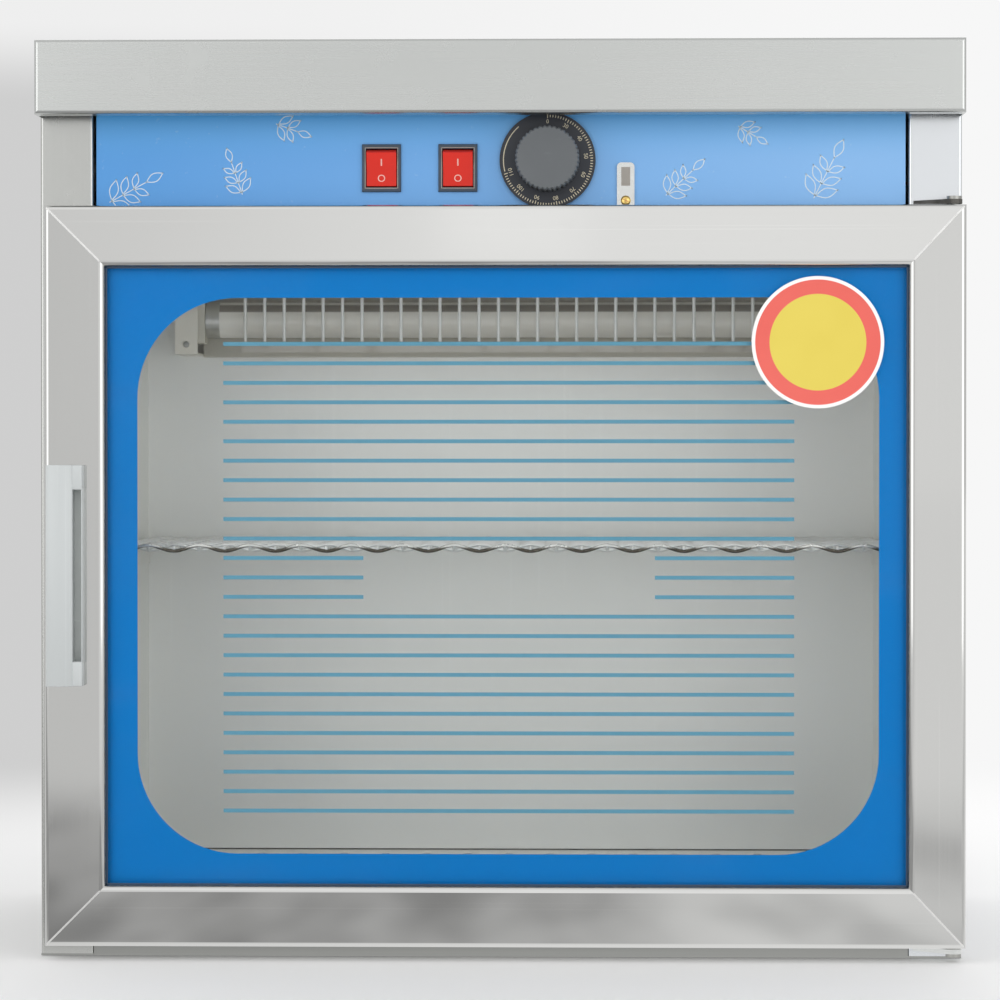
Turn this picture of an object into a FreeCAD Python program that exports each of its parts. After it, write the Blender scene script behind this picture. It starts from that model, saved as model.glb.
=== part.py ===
import FreeCAD, Part
import math
import os
import Sketcher

# Chopstick sterilizer box: a stainless cabinet with a side-hung glass door, a wire
# shelf, an ultraviolet lamp and a thermostatic heater. Millimetres, X to the right,
# Y to the rear, Z up. The origin is the centre of the underside.

# ---------------------------------------------------------------- driving sizes

# cabinet shell
BODY_WIDTH = 600.0
BODY_DEPTH = 350.0
BODY_HEIGHT = 595.0
SHELL_SHEET = 1.2
SHELL_BEND = 1.8
POST_WIDTH = 34.5
POST_RETURN = 15.0
REAR_FLANGE = 20.0
CAP_REACH = 28.0
CAP_HEIGHT = 48.0
CAP_HEM = 14.0
CAP_BEND = 2.5
# chamber
LINER_SHEET = 1.0
CHAMBER_DEPTH = 300.0
CHAMBER_FLOOR = 38.0
CONTROL_SPACE = 113.0
HEADER_HEIGHT = 16.0
HEADER_OVER_CEILING = 4.0
HEADER_SHELF = 20.0
AIR_SLOT_WIDTH = 6.0
AIR_SLOT_LENGTH = 96.0
AIR_SLOT_PITCH = 30.0
AIR_SLOT_MARGIN = 24.0
# control panel
PANEL_HEIGHT = 108.0
PANEL_RECESS = 2.0
PANEL_SIDE_GAP = 2.0
PANEL_FLANGE = 12.0
# rocker switches
SWITCH_FIRST_X = -77.1
SWITCH_SPACING = 49.8
SWITCH_RISE = 32.0
BEZEL_WIDTH = 25.4
BEZEL_HEIGHT = 31.0
BEZEL_PROUD = 2.0
SWITCH_BODY_WIDTH = 22.0
SWITCH_BODY_HEIGHT = 28.5
SWITCH_BODY_DEPTH = 25.0
ROCKER_WIDTH = 19.4
ROCKER_RADIUS = 12.1
ROCKER_GAP = 0.4
ROCKER_PIVOT_DEPTH = 2.0
ROCKER_PIN_RADIUS = 1.5
ROCKER_TAIL = 5.0
ROCKER_DIP = 3.3
ROCKER_CREST = 5.6
ROCKER_TILT = 10.0
# thermostat and its knob
KNOB_X = 31.1
KNOB_RISE = 36.8
KNOB_RADIUS = 20.8
KNOB_HEIGHT = 21.0
KNOB_BORE_DEPTH = 14.0
FLUTE_RADIUS = 0.8
FLUTE_COUNT = 40
SKIRT_RADIUS = 31.2
SKIRT_THICKNESS = 2.8
SKIRT_GAP = 0.9
SHAFT_RADIUS = 3.0
SHAFT_GRIP = 22.0
RUNNING_GAP = 0.05
NECK_RADIUS = 5.0
NECK_PROUD = 0.4
THERMOSTAT_WIDTH = 40.0
THERMOSTAT_HEIGHT = 44.0
THERMOSTAT_DEPTH = 32.0
# door switch
DOOR_SWITCH_X = 81.9
BRACKET_WIDTH = 11.4
BRACKET_SHEET = 1.5
BRACKET_RISE = 35.4
BRACKET_CORNER = 2.85
BRACKET_START = 1.4
WINDOW_WIDTH = 5.8
WINDOW_HEIGHT = 12.2
WINDOW_RISE = 26.3
BRASS_SCREW_RISE = 10.6
BRASS_SCREW_HEAD = 3.3
BRASS_SCREW_PROUD = 1.7
BRASS_SCREW_SHANK = 1.5
PLUNGER_RADIUS = 1.4
PLUNGER_RISE = 3.6
PLUNGER_TIP_GAP = 0.3
PLUNGER_TRAVEL = 1.5
PLUNGER_GRIP = 7.0
SWITCH_CASE_WIDTH = 20.0
SWITCH_CASE_HEIGHT = 33.0
SWITCH_CASE_DEPTH = 22.0
# door
DOOR_LEFT_INSET = 6.0
DOOR_RIGHT_OVERHANG = 0.5
DOOR_BOTTOM = 9.2
DOOR_LAP = 6.3
DOOR_THICKNESS = 24.0
DOOR_GAP = 2.5
DOOR_SHEET = 1.5
DOOR_EDGE_BEND = 3.0
DOOR_INNER_BEND = 4.0
FRAME_WIDTH = 39.5
HINGE_FRAME_WIDTH = 37.1
GLASS_SET = 5.0
GLASS_THICKNESS = 4.0
GLASS_LAP = 8.0
REBATE_GAP = 0.3
SEAL_THICKNESS = 2.0
FILM_THICKNESS = 0.2
FILM_LAP = 1.0
BORDER_WIDTH = 20.0
BORDER_HINGE_WIDTH = 18.3
BORDER_CORNER = 65.0
GASKET_INSET = 8.0
GASKET_WIDTH = 10.0
GASKET_THICKNESS = 2.2
# stripes and round label on the glass
STRIPE_COUNT = 25
STRIPE_RISE = 47.9
STRIPE_THICKNESS = 2.5
STRIPE_LEFT_INSET = 75.8
STRIPE_RIGHT_INSET = 72.9
STRIPE_DROP = 49.8
BREAK_FIRST = 11
BREAK_COUNT = 3
BREAK_LEFT_INSET = 90.8
BREAK_RIGHT_INSET = 89.8
LABEL_INSET = 58.0
LABEL_DROP = 49.1
LABEL_RADIUS = 42.6
# handle
HANDLE_LEFT = 3.0
HANDLE_WIDTH = 23.3
HANDLE_BOTTOM = 169.0
HANDLE_HEIGHT = 142.4
HANDLE_PROUD = 15.0
HANDLE_ROUND = 5.0
NOTCH_LEFT = 17.1
NOTCH_WIDTH = 5.6
NOTCH_HEIGHT = 110.6
NOTCH_FLOOR = 2.0
NOTCH_UNDERCUT = 7.0
GRIP_THICKNESS = 6.5
# hinges
HINGE_INSET = 7.0
HINGE_SETBACK = 12.0
HINGE_PLATE = 3.0
HINGE_PLATE_GAP = 0.7
HINGE_LEG = 22.0
HINGE_LEG_SHEET = 2.0
HINGE_LEG_INNER_GAP = 1.8
HINGE_LEG_OUTER_GAP = 0.3
HINGE_PIN_RADIUS = 3.0
HINGE_PIN_REACH = 16.0
HINGE_HEAD_RADIUS = 5.0
HINGE_HEAD_HEIGHT = 2.0
HINGE_COLLAR_HEIGHT = 0.9
HINGE_SEAT_GAP = 0.3
HINGE_BLOCK_SIZE = 20.0
PIN_HOLE_GAP = 0.6
# shelf
SHELF_RISE = 224.4
SHELF_LIFT_GAP = 0.3
SHELF_SIDE_GAP = 3.0
SHELF_FRONT_INSET = 22.0
SHELF_REAR_GAP = 8.0
SHELF_WIRE = 2.4
SHELF_PITCH = 16.8
SHELF_RIM = 4.8
SHELF_BEND = 6.0
SUPPORT_WIDTH = 12.0
SUPPORT_HEIGHT = 14.0
SUPPORT_SHEET = 1.2
# ultraviolet lamp
LAMP_SIDE_ROOM = 46.8
TUBE_RADIUS = 12.8
TUBE_WALL = 0.8
CAP_RADIUS = 13.0
CAP_LENGTH = 10.0
CONTACT_PIN_RADIUS = 1.2
CONTACT_PIN_LENGTH = 7.0
CONTACT_PIN_SPREAD = 12.7
LAMP_DROP = 53.0
LAMP_STANDOFF = 35.0
HOLDER_LENGTH = 20.0
HOLDER_WIDTH = 24.0
HOLDER_HEIGHT = 34.0
HOLDER_GAP = 0.3
END_COVER_WIDTH = 16.3
END_COVER_HEIGHT = 50.0
END_COVER_DEPTH = 53.0
CHANNEL_HEIGHT = 52.0
CHANNEL_DEPTH = 12.0
GUARD_END_ROOM = 29.7
GUARD_COUNT = 28
GUARD_WIRE_RADIUS = 1.25
GUARD_BEND = 7.0
GUARD_FRONT_GAP = 8.3
GUARD_HEIGHT = 41.0
GUARD_RAIL_HEIGHT = 7.0
GUARD_RAIL_SHEET = 1.2
# heater
HEATER_RADIUS = 4.0
HEATER_HEIGHT = 20.0
HEATER_INSET = 35.5
HEATER_BEND_INSET = 115.5
HEATER_SETBACK = 65.0
HEATER_TURN = 75.0
STUD_RADIUS = 2.0
STUD_LENGTH = 12.0
CLIP_WIDTH = 12.0
CLIP_OFFSET = 50.0
BULB_RADIUS = 3.0
BULB_LENGTH = 80.0
BULB_SETBACK = 40.0
BULB_INSET = 35.5
CAPILLARY_RADIUS = 1.0
CAPILLARY_BEND = 8.0
CAPILLARY_SETBACK = 24.0
CAPILLARY_DROP = 11.0
CAPILLARY_HOLE_GAP = 0.5
# electrical gear over the chamber
BALLAST_LENGTH = 150.0
BALLAST_WIDTH = 40.0
BALLAST_HEIGHT = 28.0
BALLAST_FOOT = 12.0
BALLAST_SPACING = 140.0
GEAR_SETBACK = 65.0
STARTER_RADIUS = 10.75
STARTER_HEIGHT = 40.0
STARTER_BASE = 30.0
STARTER_BASE_HEIGHT = 10.0
STARTER_SPACING = 130.0
TERMINAL_LENGTH = 60.0
TERMINAL_WIDTH = 22.0
TERMINAL_HEIGHT = 17.0
TERMINAL_WAYS = 6
TERMINAL_SCREW_RADIUS = 2.2
TERMINAL_INSET = 65.5
# rear panel
VENT_WIDTH = 60.0
VENT_HEIGHT = 4.0
VENT_PITCH = 12.0
VENT_COUNT = 5
VENT_SPREAD = 130.0
VENT_DROP = 30.0
SCREW_RADIUS = 2.0
SCREW_HEAD_RADIUS = 4.0
SCREW_HEAD_HEIGHT = 2.4
SCREW_LENGTH = 10.0
SCREW_INSET = 10.0
SCREW_ROWS = 4
SCREW_MARGIN = 30.0
GLAND_INSET = 100.0
GLAND_DROP = 55.0
GLAND_BORE = 4.0
GLAND_NECK = 6.0
GLAND_NUT = 10.0
GLAND_PROUD = 14.0
GLAND_NUT_LENGTH = 5.0

# ---------------------------------------------------------------- the sheet of sizes

doc = FreeCAD.newDocument("SterilizerBox")
sheet = doc.addObject("Spreadsheet::Sheet", "Sizes")
PARTS = []


class Size:
    """A number together with the spreadsheet formula that gives it."""

    def __init__(self, number, formula=None):
        self.number = float(number)
        self.formula = formula or "({:.9g})".format(self.number)

    def joined(self, other, sign, number):
        return Size(number, "({} {} {})".format(self.formula, sign, other.formula))

    def __add__(self, other):
        other = as_size(other)
        return self.joined(other, "+", self.number + other.number)

    def __sub__(self, other):
        other = as_size(other)
        return self.joined(other, "-", self.number - other.number)

    def __mul__(self, other):
        other = as_size(other)
        return self.joined(other, "*", self.number * other.number)

    def __truediv__(self, other):
        other = as_size(other)
        return self.joined(other, "/", self.number / other.number)

    def __radd__(self, other):
        return as_size(other) + self

    def __rsub__(self, other):
        return as_size(other) - self

    def __rmul__(self, other):
        return as_size(other) * self

    def __neg__(self):
        return as_size(0) - self

    def __float__(self):
        return self.number


def as_size(number):
    return number if isinstance(number, Size) else Size(number)


def given(name, number):
    """Puts one driving size in the sheet and returns it."""
    given.row += 1
    cell = "B{}".format(given.row)
    sheet.set("A{}".format(given.row), name)
    sheet.set(cell, str(number))
    sheet.setAlias(cell, name)
    return Size(number, "Sizes." + name)


given.row = 0

# cabinet shell
body_width = given("body_width", BODY_WIDTH)
body_depth = given("body_depth", BODY_DEPTH)
body_height = given("body_height", BODY_HEIGHT)
shell_sheet = given("shell_sheet", SHELL_SHEET)
shell_bend = given("shell_bend", SHELL_BEND)
post_width = given("post_width", POST_WIDTH)
post_return = given("post_return", POST_RETURN)
rear_flange = given("rear_flange", REAR_FLANGE)
cap_reach = given("cap_reach", CAP_REACH)
cap_height = given("cap_height", CAP_HEIGHT)
cap_hem = given("cap_hem", CAP_HEM)
cap_bend = given("cap_bend", CAP_BEND)
# chamber
liner_sheet = given("liner_sheet", LINER_SHEET)
chamber_depth = given("chamber_depth", CHAMBER_DEPTH)
chamber_floor = given("chamber_floor", CHAMBER_FLOOR)
control_space = given("control_space", CONTROL_SPACE)
header_height = given("header_height", HEADER_HEIGHT)
header_over_ceiling = given("header_over_ceiling", HEADER_OVER_CEILING)
header_shelf = given("header_shelf", HEADER_SHELF)
air_slot_width = given("air_slot_width", AIR_SLOT_WIDTH)
air_slot_length = given("air_slot_length", AIR_SLOT_LENGTH)
air_slot_pitch = given("air_slot_pitch", AIR_SLOT_PITCH)
air_slot_margin = given("air_slot_margin", AIR_SLOT_MARGIN)
# control panel
panel_height = given("panel_height", PANEL_HEIGHT)
panel_recess = given("panel_recess", PANEL_RECESS)
panel_side_gap = given("panel_side_gap", PANEL_SIDE_GAP)
panel_flange = given("panel_flange", PANEL_FLANGE)
# rocker switches
switch_first_x = given("switch_first_x", SWITCH_FIRST_X)
switch_spacing = given("switch_spacing", SWITCH_SPACING)
switch_rise = given("switch_rise", SWITCH_RISE)
bezel_width = given("bezel_width", BEZEL_WIDTH)
bezel_height = given("bezel_height", BEZEL_HEIGHT)
bezel_proud = given("bezel_proud", BEZEL_PROUD)
switch_body_width = given("switch_body_width", SWITCH_BODY_WIDTH)
switch_body_height = given("switch_body_height", SWITCH_BODY_HEIGHT)
switch_body_depth = given("switch_body_depth", SWITCH_BODY_DEPTH)
rocker_width = given("rocker_width", ROCKER_WIDTH)
rocker_radius = given("rocker_radius", ROCKER_RADIUS)
rocker_gap = given("rocker_gap", ROCKER_GAP)
rocker_pivot_depth = given("rocker_pivot_depth", ROCKER_PIVOT_DEPTH)
rocker_pin_radius = given("rocker_pin_radius", ROCKER_PIN_RADIUS)
rocker_tail = given("rocker_tail", ROCKER_TAIL)
rocker_dip = given("rocker_dip", ROCKER_DIP)
rocker_crest = given("rocker_crest", ROCKER_CREST)
rocker_tilt = given("rocker_tilt", ROCKER_TILT)
# thermostat and its knob
knob_x = given("knob_x", KNOB_X)
knob_rise = given("knob_rise", KNOB_RISE)
knob_radius = given("knob_radius", KNOB_RADIUS)
knob_height = given("knob_height", KNOB_HEIGHT)
knob_bore_depth = given("knob_bore_depth", KNOB_BORE_DEPTH)
flute_radius = given("flute_radius", FLUTE_RADIUS)
flute_count = given("flute_count", FLUTE_COUNT)
skirt_radius = given("skirt_radius", SKIRT_RADIUS)
skirt_thickness = given("skirt_thickness", SKIRT_THICKNESS)
skirt_gap = given("skirt_gap", SKIRT_GAP)
shaft_radius = given("shaft_radius", SHAFT_RADIUS)
shaft_grip = given("shaft_grip", SHAFT_GRIP)
running_gap = given("running_gap", RUNNING_GAP)
neck_radius = given("neck_radius", NECK_RADIUS)
neck_proud = given("neck_proud", NECK_PROUD)
thermostat_width = given("thermostat_width", THERMOSTAT_WIDTH)
thermostat_height = given("thermostat_height", THERMOSTAT_HEIGHT)
thermostat_depth = given("thermostat_depth", THERMOSTAT_DEPTH)
# door switch
door_switch_x = given("door_switch_x", DOOR_SWITCH_X)
bracket_width = given("bracket_width", BRACKET_WIDTH)
bracket_sheet = given("bracket_sheet", BRACKET_SHEET)
bracket_rise = given("bracket_rise", BRACKET_RISE)
bracket_corner = given("bracket_corner", BRACKET_CORNER)
bracket_start = given("bracket_start", BRACKET_START)
window_width = given("window_width", WINDOW_WIDTH)
window_height = given("window_height", WINDOW_HEIGHT)
window_rise = given("window_rise", WINDOW_RISE)
brass_screw_rise = given("brass_screw_rise", BRASS_SCREW_RISE)
brass_screw_head = given("brass_screw_head", BRASS_SCREW_HEAD)
brass_screw_proud = given("brass_screw_proud", BRASS_SCREW_PROUD)
brass_screw_shank = given("brass_screw_shank", BRASS_SCREW_SHANK)
plunger_radius = given("plunger_radius", PLUNGER_RADIUS)
plunger_rise = given("plunger_rise", PLUNGER_RISE)
plunger_tip_gap = given("plunger_tip_gap", PLUNGER_TIP_GAP)
plunger_travel = given("plunger_travel", PLUNGER_TRAVEL)
plunger_grip = given("plunger_grip", PLUNGER_GRIP)
switch_case_width = given("switch_case_width", SWITCH_CASE_WIDTH)
switch_case_height = given("switch_case_height", SWITCH_CASE_HEIGHT)
switch_case_depth = given("switch_case_depth", SWITCH_CASE_DEPTH)
# door
door_left_inset = given("door_left_inset", DOOR_LEFT_INSET)
door_right_overhang = given("door_right_overhang", DOOR_RIGHT_OVERHANG)
door_bottom = given("door_bottom", DOOR_BOTTOM)
door_lap = given("door_lap", DOOR_LAP)
door_thickness = given("door_thickness", DOOR_THICKNESS)
door_gap = given("door_gap", DOOR_GAP)
door_sheet = given("door_sheet", DOOR_SHEET)
door_edge_bend = given("door_edge_bend", DOOR_EDGE_BEND)
door_inner_bend = given("door_inner_bend", DOOR_INNER_BEND)
frame_width = given("frame_width", FRAME_WIDTH)
hinge_frame_width = given("hinge_frame_width", HINGE_FRAME_WIDTH)
glass_set = given("glass_set", GLASS_SET)
glass_thickness = given("glass_thickness", GLASS_THICKNESS)
glass_lap = given("glass_lap", GLASS_LAP)
rebate_gap = given("rebate_gap", REBATE_GAP)
seal_thickness = given("seal_thickness", SEAL_THICKNESS)
film_thickness = given("film_thickness", FILM_THICKNESS)
film_lap = given("film_lap", FILM_LAP)
border_width = given("border_width", BORDER_WIDTH)
border_hinge_width = given("border_hinge_width", BORDER_HINGE_WIDTH)
border_corner = given("border_corner", BORDER_CORNER)
gasket_inset = given("gasket_inset", GASKET_INSET)
gasket_width = given("gasket_width", GASKET_WIDTH)
gasket_thickness = given("gasket_thickness", GASKET_THICKNESS)
# stripes and round label on the glass
stripe_count = given("stripe_count", STRIPE_COUNT)
stripe_rise = given("stripe_rise", STRIPE_RISE)
stripe_thickness = given("stripe_thickness", STRIPE_THICKNESS)
stripe_left_inset = given("stripe_left_inset", STRIPE_LEFT_INSET)
stripe_right_inset = given("stripe_right_inset", STRIPE_RIGHT_INSET)
stripe_drop = given("stripe_drop", STRIPE_DROP)
break_first = given("break_first", BREAK_FIRST)
break_count = given("break_count", BREAK_COUNT)
break_left_inset = given("break_left_inset", BREAK_LEFT_INSET)
break_right_inset = given("break_right_inset", BREAK_RIGHT_INSET)
label_inset = given("label_inset", LABEL_INSET)
label_drop = given("label_drop", LABEL_DROP)
label_radius = given("label_radius", LABEL_RADIUS)
# handle
handle_left = given("handle_left", HANDLE_LEFT)
handle_width = given("handle_width", HANDLE_WIDTH)
handle_bottom = given("handle_bottom", HANDLE_BOTTOM)
handle_height = given("handle_height", HANDLE_HEIGHT)
handle_proud = given("handle_proud", HANDLE_PROUD)
handle_round = given("handle_round", HANDLE_ROUND)
notch_left = given("notch_left", NOTCH_LEFT)
notch_width = given("notch_width", NOTCH_WIDTH)
notch_height = given("notch_height", NOTCH_HEIGHT)
notch_floor = given("notch_floor", NOTCH_FLOOR)
notch_undercut = given("notch_undercut", NOTCH_UNDERCUT)
grip_thickness = given("grip_thickness", GRIP_THICKNESS)
# hinges
hinge_inset = given("hinge_inset", HINGE_INSET)
hinge_setback = given("hinge_setback", HINGE_SETBACK)
hinge_plate = given("hinge_plate", HINGE_PLATE)
hinge_plate_gap = given("hinge_plate_gap", HINGE_PLATE_GAP)
hinge_leg = given("hinge_leg", HINGE_LEG)
hinge_leg_sheet = given("hinge_leg_sheet", HINGE_LEG_SHEET)
hinge_leg_inner_gap = given("hinge_leg_inner_gap", HINGE_LEG_INNER_GAP)
hinge_leg_outer_gap = given("hinge_leg_outer_gap", HINGE_LEG_OUTER_GAP)
hinge_pin_radius = given("hinge_pin_radius", HINGE_PIN_RADIUS)
hinge_pin_reach = given("hinge_pin_reach", HINGE_PIN_REACH)
hinge_head_radius = given("hinge_head_radius", HINGE_HEAD_RADIUS)
hinge_head_height = given("hinge_head_height", HINGE_HEAD_HEIGHT)
hinge_collar_height = given("hinge_collar_height", HINGE_COLLAR_HEIGHT)
hinge_seat_gap = given("hinge_seat_gap", HINGE_SEAT_GAP)
hinge_block_size = given("hinge_block_size", HINGE_BLOCK_SIZE)
pin_hole_gap = given("pin_hole_gap", PIN_HOLE_GAP)
# shelf
shelf_rise = given("shelf_rise", SHELF_RISE)
shelf_lift_gap = given("shelf_lift_gap", SHELF_LIFT_GAP)
shelf_side_gap = given("shelf_side_gap", SHELF_SIDE_GAP)
shelf_front_inset = given("shelf_front_inset", SHELF_FRONT_INSET)
shelf_rear_gap = given("shelf_rear_gap", SHELF_REAR_GAP)
shelf_wire = given("shelf_wire", SHELF_WIRE)
shelf_pitch = given("shelf_pitch", SHELF_PITCH)
shelf_rim = given("shelf_rim", SHELF_RIM)
shelf_bend = given("shelf_bend", SHELF_BEND)
support_width = given("support_width", SUPPORT_WIDTH)
support_height = given("support_height", SUPPORT_HEIGHT)
support_sheet = given("support_sheet", SUPPORT_SHEET)
# ultraviolet lamp
lamp_side_room = given("lamp_side_room", LAMP_SIDE_ROOM)
tube_radius = given("tube_radius", TUBE_RADIUS)
tube_wall = given("tube_wall", TUBE_WALL)
cap_radius = given("cap_radius", CAP_RADIUS)
cap_length = given("cap_length", CAP_LENGTH)
contact_pin_radius = given("contact_pin_radius", CONTACT_PIN_RADIUS)
contact_pin_length = given("contact_pin_length", CONTACT_PIN_LENGTH)
contact_pin_spread = given("contact_pin_spread", CONTACT_PIN_SPREAD)
lamp_drop = given("lamp_drop", LAMP_DROP)
lamp_standoff = given("lamp_standoff", LAMP_STANDOFF)
holder_length = given("holder_length", HOLDER_LENGTH)
holder_width = given("holder_width", HOLDER_WIDTH)
holder_height = given("holder_height", HOLDER_HEIGHT)
holder_gap = given("holder_gap", HOLDER_GAP)
end_cover_width = given("end_cover_width", END_COVER_WIDTH)
end_cover_height = given("end_cover_height", END_COVER_HEIGHT)
end_cover_depth = given("end_cover_depth", END_COVER_DEPTH)
channel_height = given("channel_height", CHANNEL_HEIGHT)
channel_depth = given("channel_depth", CHANNEL_DEPTH)
guard_end_room = given("guard_end_room", GUARD_END_ROOM)
guard_count = given("guard_count", GUARD_COUNT)
guard_wire_radius = given("guard_wire_radius", GUARD_WIRE_RADIUS)
guard_bend = given("guard_bend", GUARD_BEND)
guard_front_gap = given("guard_front_gap", GUARD_FRONT_GAP)
guard_height = given("guard_height", GUARD_HEIGHT)
guard_rail_height = given("guard_rail_height", GUARD_RAIL_HEIGHT)
guard_rail_sheet = given("guard_rail_sheet", GUARD_RAIL_SHEET)
# heater
heater_radius = given("heater_radius", HEATER_RADIUS)
heater_height = given("heater_height", HEATER_HEIGHT)
heater_inset = given("heater_inset", HEATER_INSET)
heater_bend_inset = given("heater_bend_inset", HEATER_BEND_INSET)
heater_setback = given("heater_setback", HEATER_SETBACK)
heater_turn = given("heater_turn", HEATER_TURN)
stud_radius = given("stud_radius", STUD_RADIUS)
stud_length = given("stud_length", STUD_LENGTH)
clip_width = given("clip_width", CLIP_WIDTH)
clip_offset = given("clip_offset", CLIP_OFFSET)
bulb_radius = given("bulb_radius", BULB_RADIUS)
bulb_length = given("bulb_length", BULB_LENGTH)
bulb_setback = given("bulb_setback", BULB_SETBACK)
bulb_inset = given("bulb_inset", BULB_INSET)
capillary_radius = given("capillary_radius", CAPILLARY_RADIUS)
capillary_bend = given("capillary_bend", CAPILLARY_BEND)
capillary_setback = given("capillary_setback", CAPILLARY_SETBACK)
capillary_drop = given("capillary_drop", CAPILLARY_DROP)
capillary_hole_gap = given("capillary_hole_gap", CAPILLARY_HOLE_GAP)
# electrical gear over the chamber
ballast_length = given("ballast_length", BALLAST_LENGTH)
ballast_width = given("ballast_width", BALLAST_WIDTH)
ballast_height = given("ballast_height", BALLAST_HEIGHT)
ballast_foot = given("ballast_foot", BALLAST_FOOT)
ballast_spacing = given("ballast_spacing", BALLAST_SPACING)
gear_setback = given("gear_setback", GEAR_SETBACK)
starter_radius = given("starter_radius", STARTER_RADIUS)
starter_height = given("starter_height", STARTER_HEIGHT)
starter_base = given("starter_base", STARTER_BASE)
starter_base_height = given("starter_base_height", STARTER_BASE_HEIGHT)
starter_spacing = given("starter_spacing", STARTER_SPACING)
terminal_length = given("terminal_length", TERMINAL_LENGTH)
terminal_width = given("terminal_width", TERMINAL_WIDTH)
terminal_height = given("terminal_height", TERMINAL_HEIGHT)
terminal_ways = given("terminal_ways", TERMINAL_WAYS)
terminal_screw_radius = given("terminal_screw_radius", TERMINAL_SCREW_RADIUS)
terminal_inset = given("terminal_inset", TERMINAL_INSET)
# rear panel
vent_width = given("vent_width", VENT_WIDTH)
vent_height = given("vent_height", VENT_HEIGHT)
vent_pitch = given("vent_pitch", VENT_PITCH)
vent_count = given("vent_count", VENT_COUNT)
vent_spread = given("vent_spread", VENT_SPREAD)
vent_drop = given("vent_drop", VENT_DROP)
screw_radius = given("screw_radius", SCREW_RADIUS)
screw_head_radius = given("screw_head_radius", SCREW_HEAD_RADIUS)
screw_head_height = given("screw_head_height", SCREW_HEAD_HEIGHT)
screw_length = given("screw_length", SCREW_LENGTH)
screw_inset = given("screw_inset", SCREW_INSET)
screw_rows = given("screw_rows", SCREW_ROWS)
screw_margin = given("screw_margin", SCREW_MARGIN)
gland_inset = given("gland_inset", GLAND_INSET)
gland_drop = given("gland_drop", GLAND_DROP)
gland_bore = given("gland_bore", GLAND_BORE)
gland_neck = given("gland_neck", GLAND_NECK)
gland_nut = given("gland_nut", GLAND_NUT)
gland_proud = given("gland_proud", GLAND_PROUD)
gland_nut_length = given("gland_nut_length", GLAND_NUT_LENGTH)

doc.recompute()

# ---------------------------------------------------------------- places

CUT_PAST = 1.0
side_x = body_width / 2
front_y = -body_depth / 2
rear_y = body_depth / 2
plate_top = body_height - shell_sheet
cap_front = front_y - cap_reach
cap_bottom = body_height - cap_height
chamber_x = side_x - post_width
chamber_back = front_y + chamber_depth
header_top = body_height - control_space
chamber_top = header_top - header_over_ceiling
header_bottom = header_top - header_height
return_end = front_y + post_return
gear_floor = chamber_top + liner_sheet
panel_front = front_y + panel_recess
panel_back = panel_front + shell_sheet
panel_top = header_top + panel_height
panel_half = chamber_x - panel_side_gap
door_left = -side_x + door_left_inset
door_right = side_x + door_right_overhang
door_top = header_top + door_lap
door_rear = front_y - door_gap
door_front = door_rear - door_thickness
open_left = door_left + frame_width
open_right = door_right - hinge_frame_width
open_bottom = door_bottom + frame_width
open_top = door_top - frame_width
glass_front = door_front + glass_set
glass_rear = glass_front + glass_thickness
hinge_x = door_right - hinge_inset
hinge_y = door_rear - hinge_setback
top_plate_low = door_top + hinge_plate_gap
bottom_plate_top = door_bottom - hinge_collar_height - hinge_seat_gap
bottom_plate_low = bottom_plate_top - hinge_plate
knob_z = header_top + knob_rise
switch_z = header_top + switch_rise
shelf_seat = chamber_floor + shelf_rise
lamp_y = chamber_back - lamp_standoff
lamp_height = chamber_top - lamp_drop
tube_half = chamber_x - lamp_side_room
tube_end = tube_half - cap_length
channel_front = chamber_back - channel_depth
holder_outer = tube_half + holder_gap + holder_length
end_cover_outer = holder_outer + liner_sheet
end_cover_inner = end_cover_outer - end_cover_width
guard_half = tube_half - guard_end_room
heater_left = heater_inset - chamber_x
heater_bend_x = chamber_x - heater_bend_inset
heater_front_y = return_end + heater_setback
bulb_right_x = chamber_x - bulb_inset
bulb_y = return_end + bulb_setback
gear_y = chamber_back - gear_setback
terminal_x = terminal_inset - chamber_x
ballast_x = terminal_x + ballast_spacing
starter_x = ballast_x + starter_spacing
gland_x = gland_inset - side_x
gland_z = body_height - gland_drop
label_x = open_right - label_inset


# ---------------------------------------------------------------- building helpers

def bind(thing, path, size):
    thing.setExpression(path, as_size(size).formula)


def put(thing, x, y, z):
    bind(thing, "Placement.Base.x", x)
    bind(thing, "Placement.Base.y", y)
    bind(thing, "Placement.Base.z", z)


def block(name, x, y, z):
    """A box from (low, high) pairs along each axis."""
    solid = doc.addObject("Part::Box", name)
    bind(solid, "Length", as_size(x[1]) - x[0])
    bind(solid, "Width", as_size(y[1]) - y[0])
    bind(solid, "Height", as_size(z[1]) - z[0])
    put(solid, x[0], y[0], z[0])
    return solid


TURNS = {
    "x": FreeCAD.Rotation(FreeCAD.Vector(0, 1, 0), 90),
    "y": FreeCAD.Rotation(FreeCAD.Vector(1, 0, 0), -90),
    "z": FreeCAD.Rotation(),
}


def rod(name, radius, axis, start, length):
    """A cylinder that starts at a point and runs along +axis."""
    solid = doc.addObject("Part::Cylinder", name)
    solid.Placement = FreeCAD.Placement(FreeCAD.Vector(), TURNS[axis])
    bind(solid, "Radius", radius)
    bind(solid, "Height", length)
    put(solid, *start)
    return solid


def cut(name, base, *tools):
    result = doc.addObject("Part::Cut", name)
    result.Base = base
    result.Tool = tools[0] if len(tools) == 1 else fuse(name + "_tools", *tools)
    return result


def fuse(name, *solids):
    result = doc.addObject("Part::MultiFuse", name)
    result.Shapes = list(solids)
    result.Refine = True
    return result


def common(name, base, tool):
    result = doc.addObject("Part::Common", name)
    result.Base = base
    result.Tool = tool
    return result


def group(name, *solids):
    """Several separate solids in one sub-part."""
    result = doc.addObject("Part::Compound", name)
    result.Links = list(solids)
    return result


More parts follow.
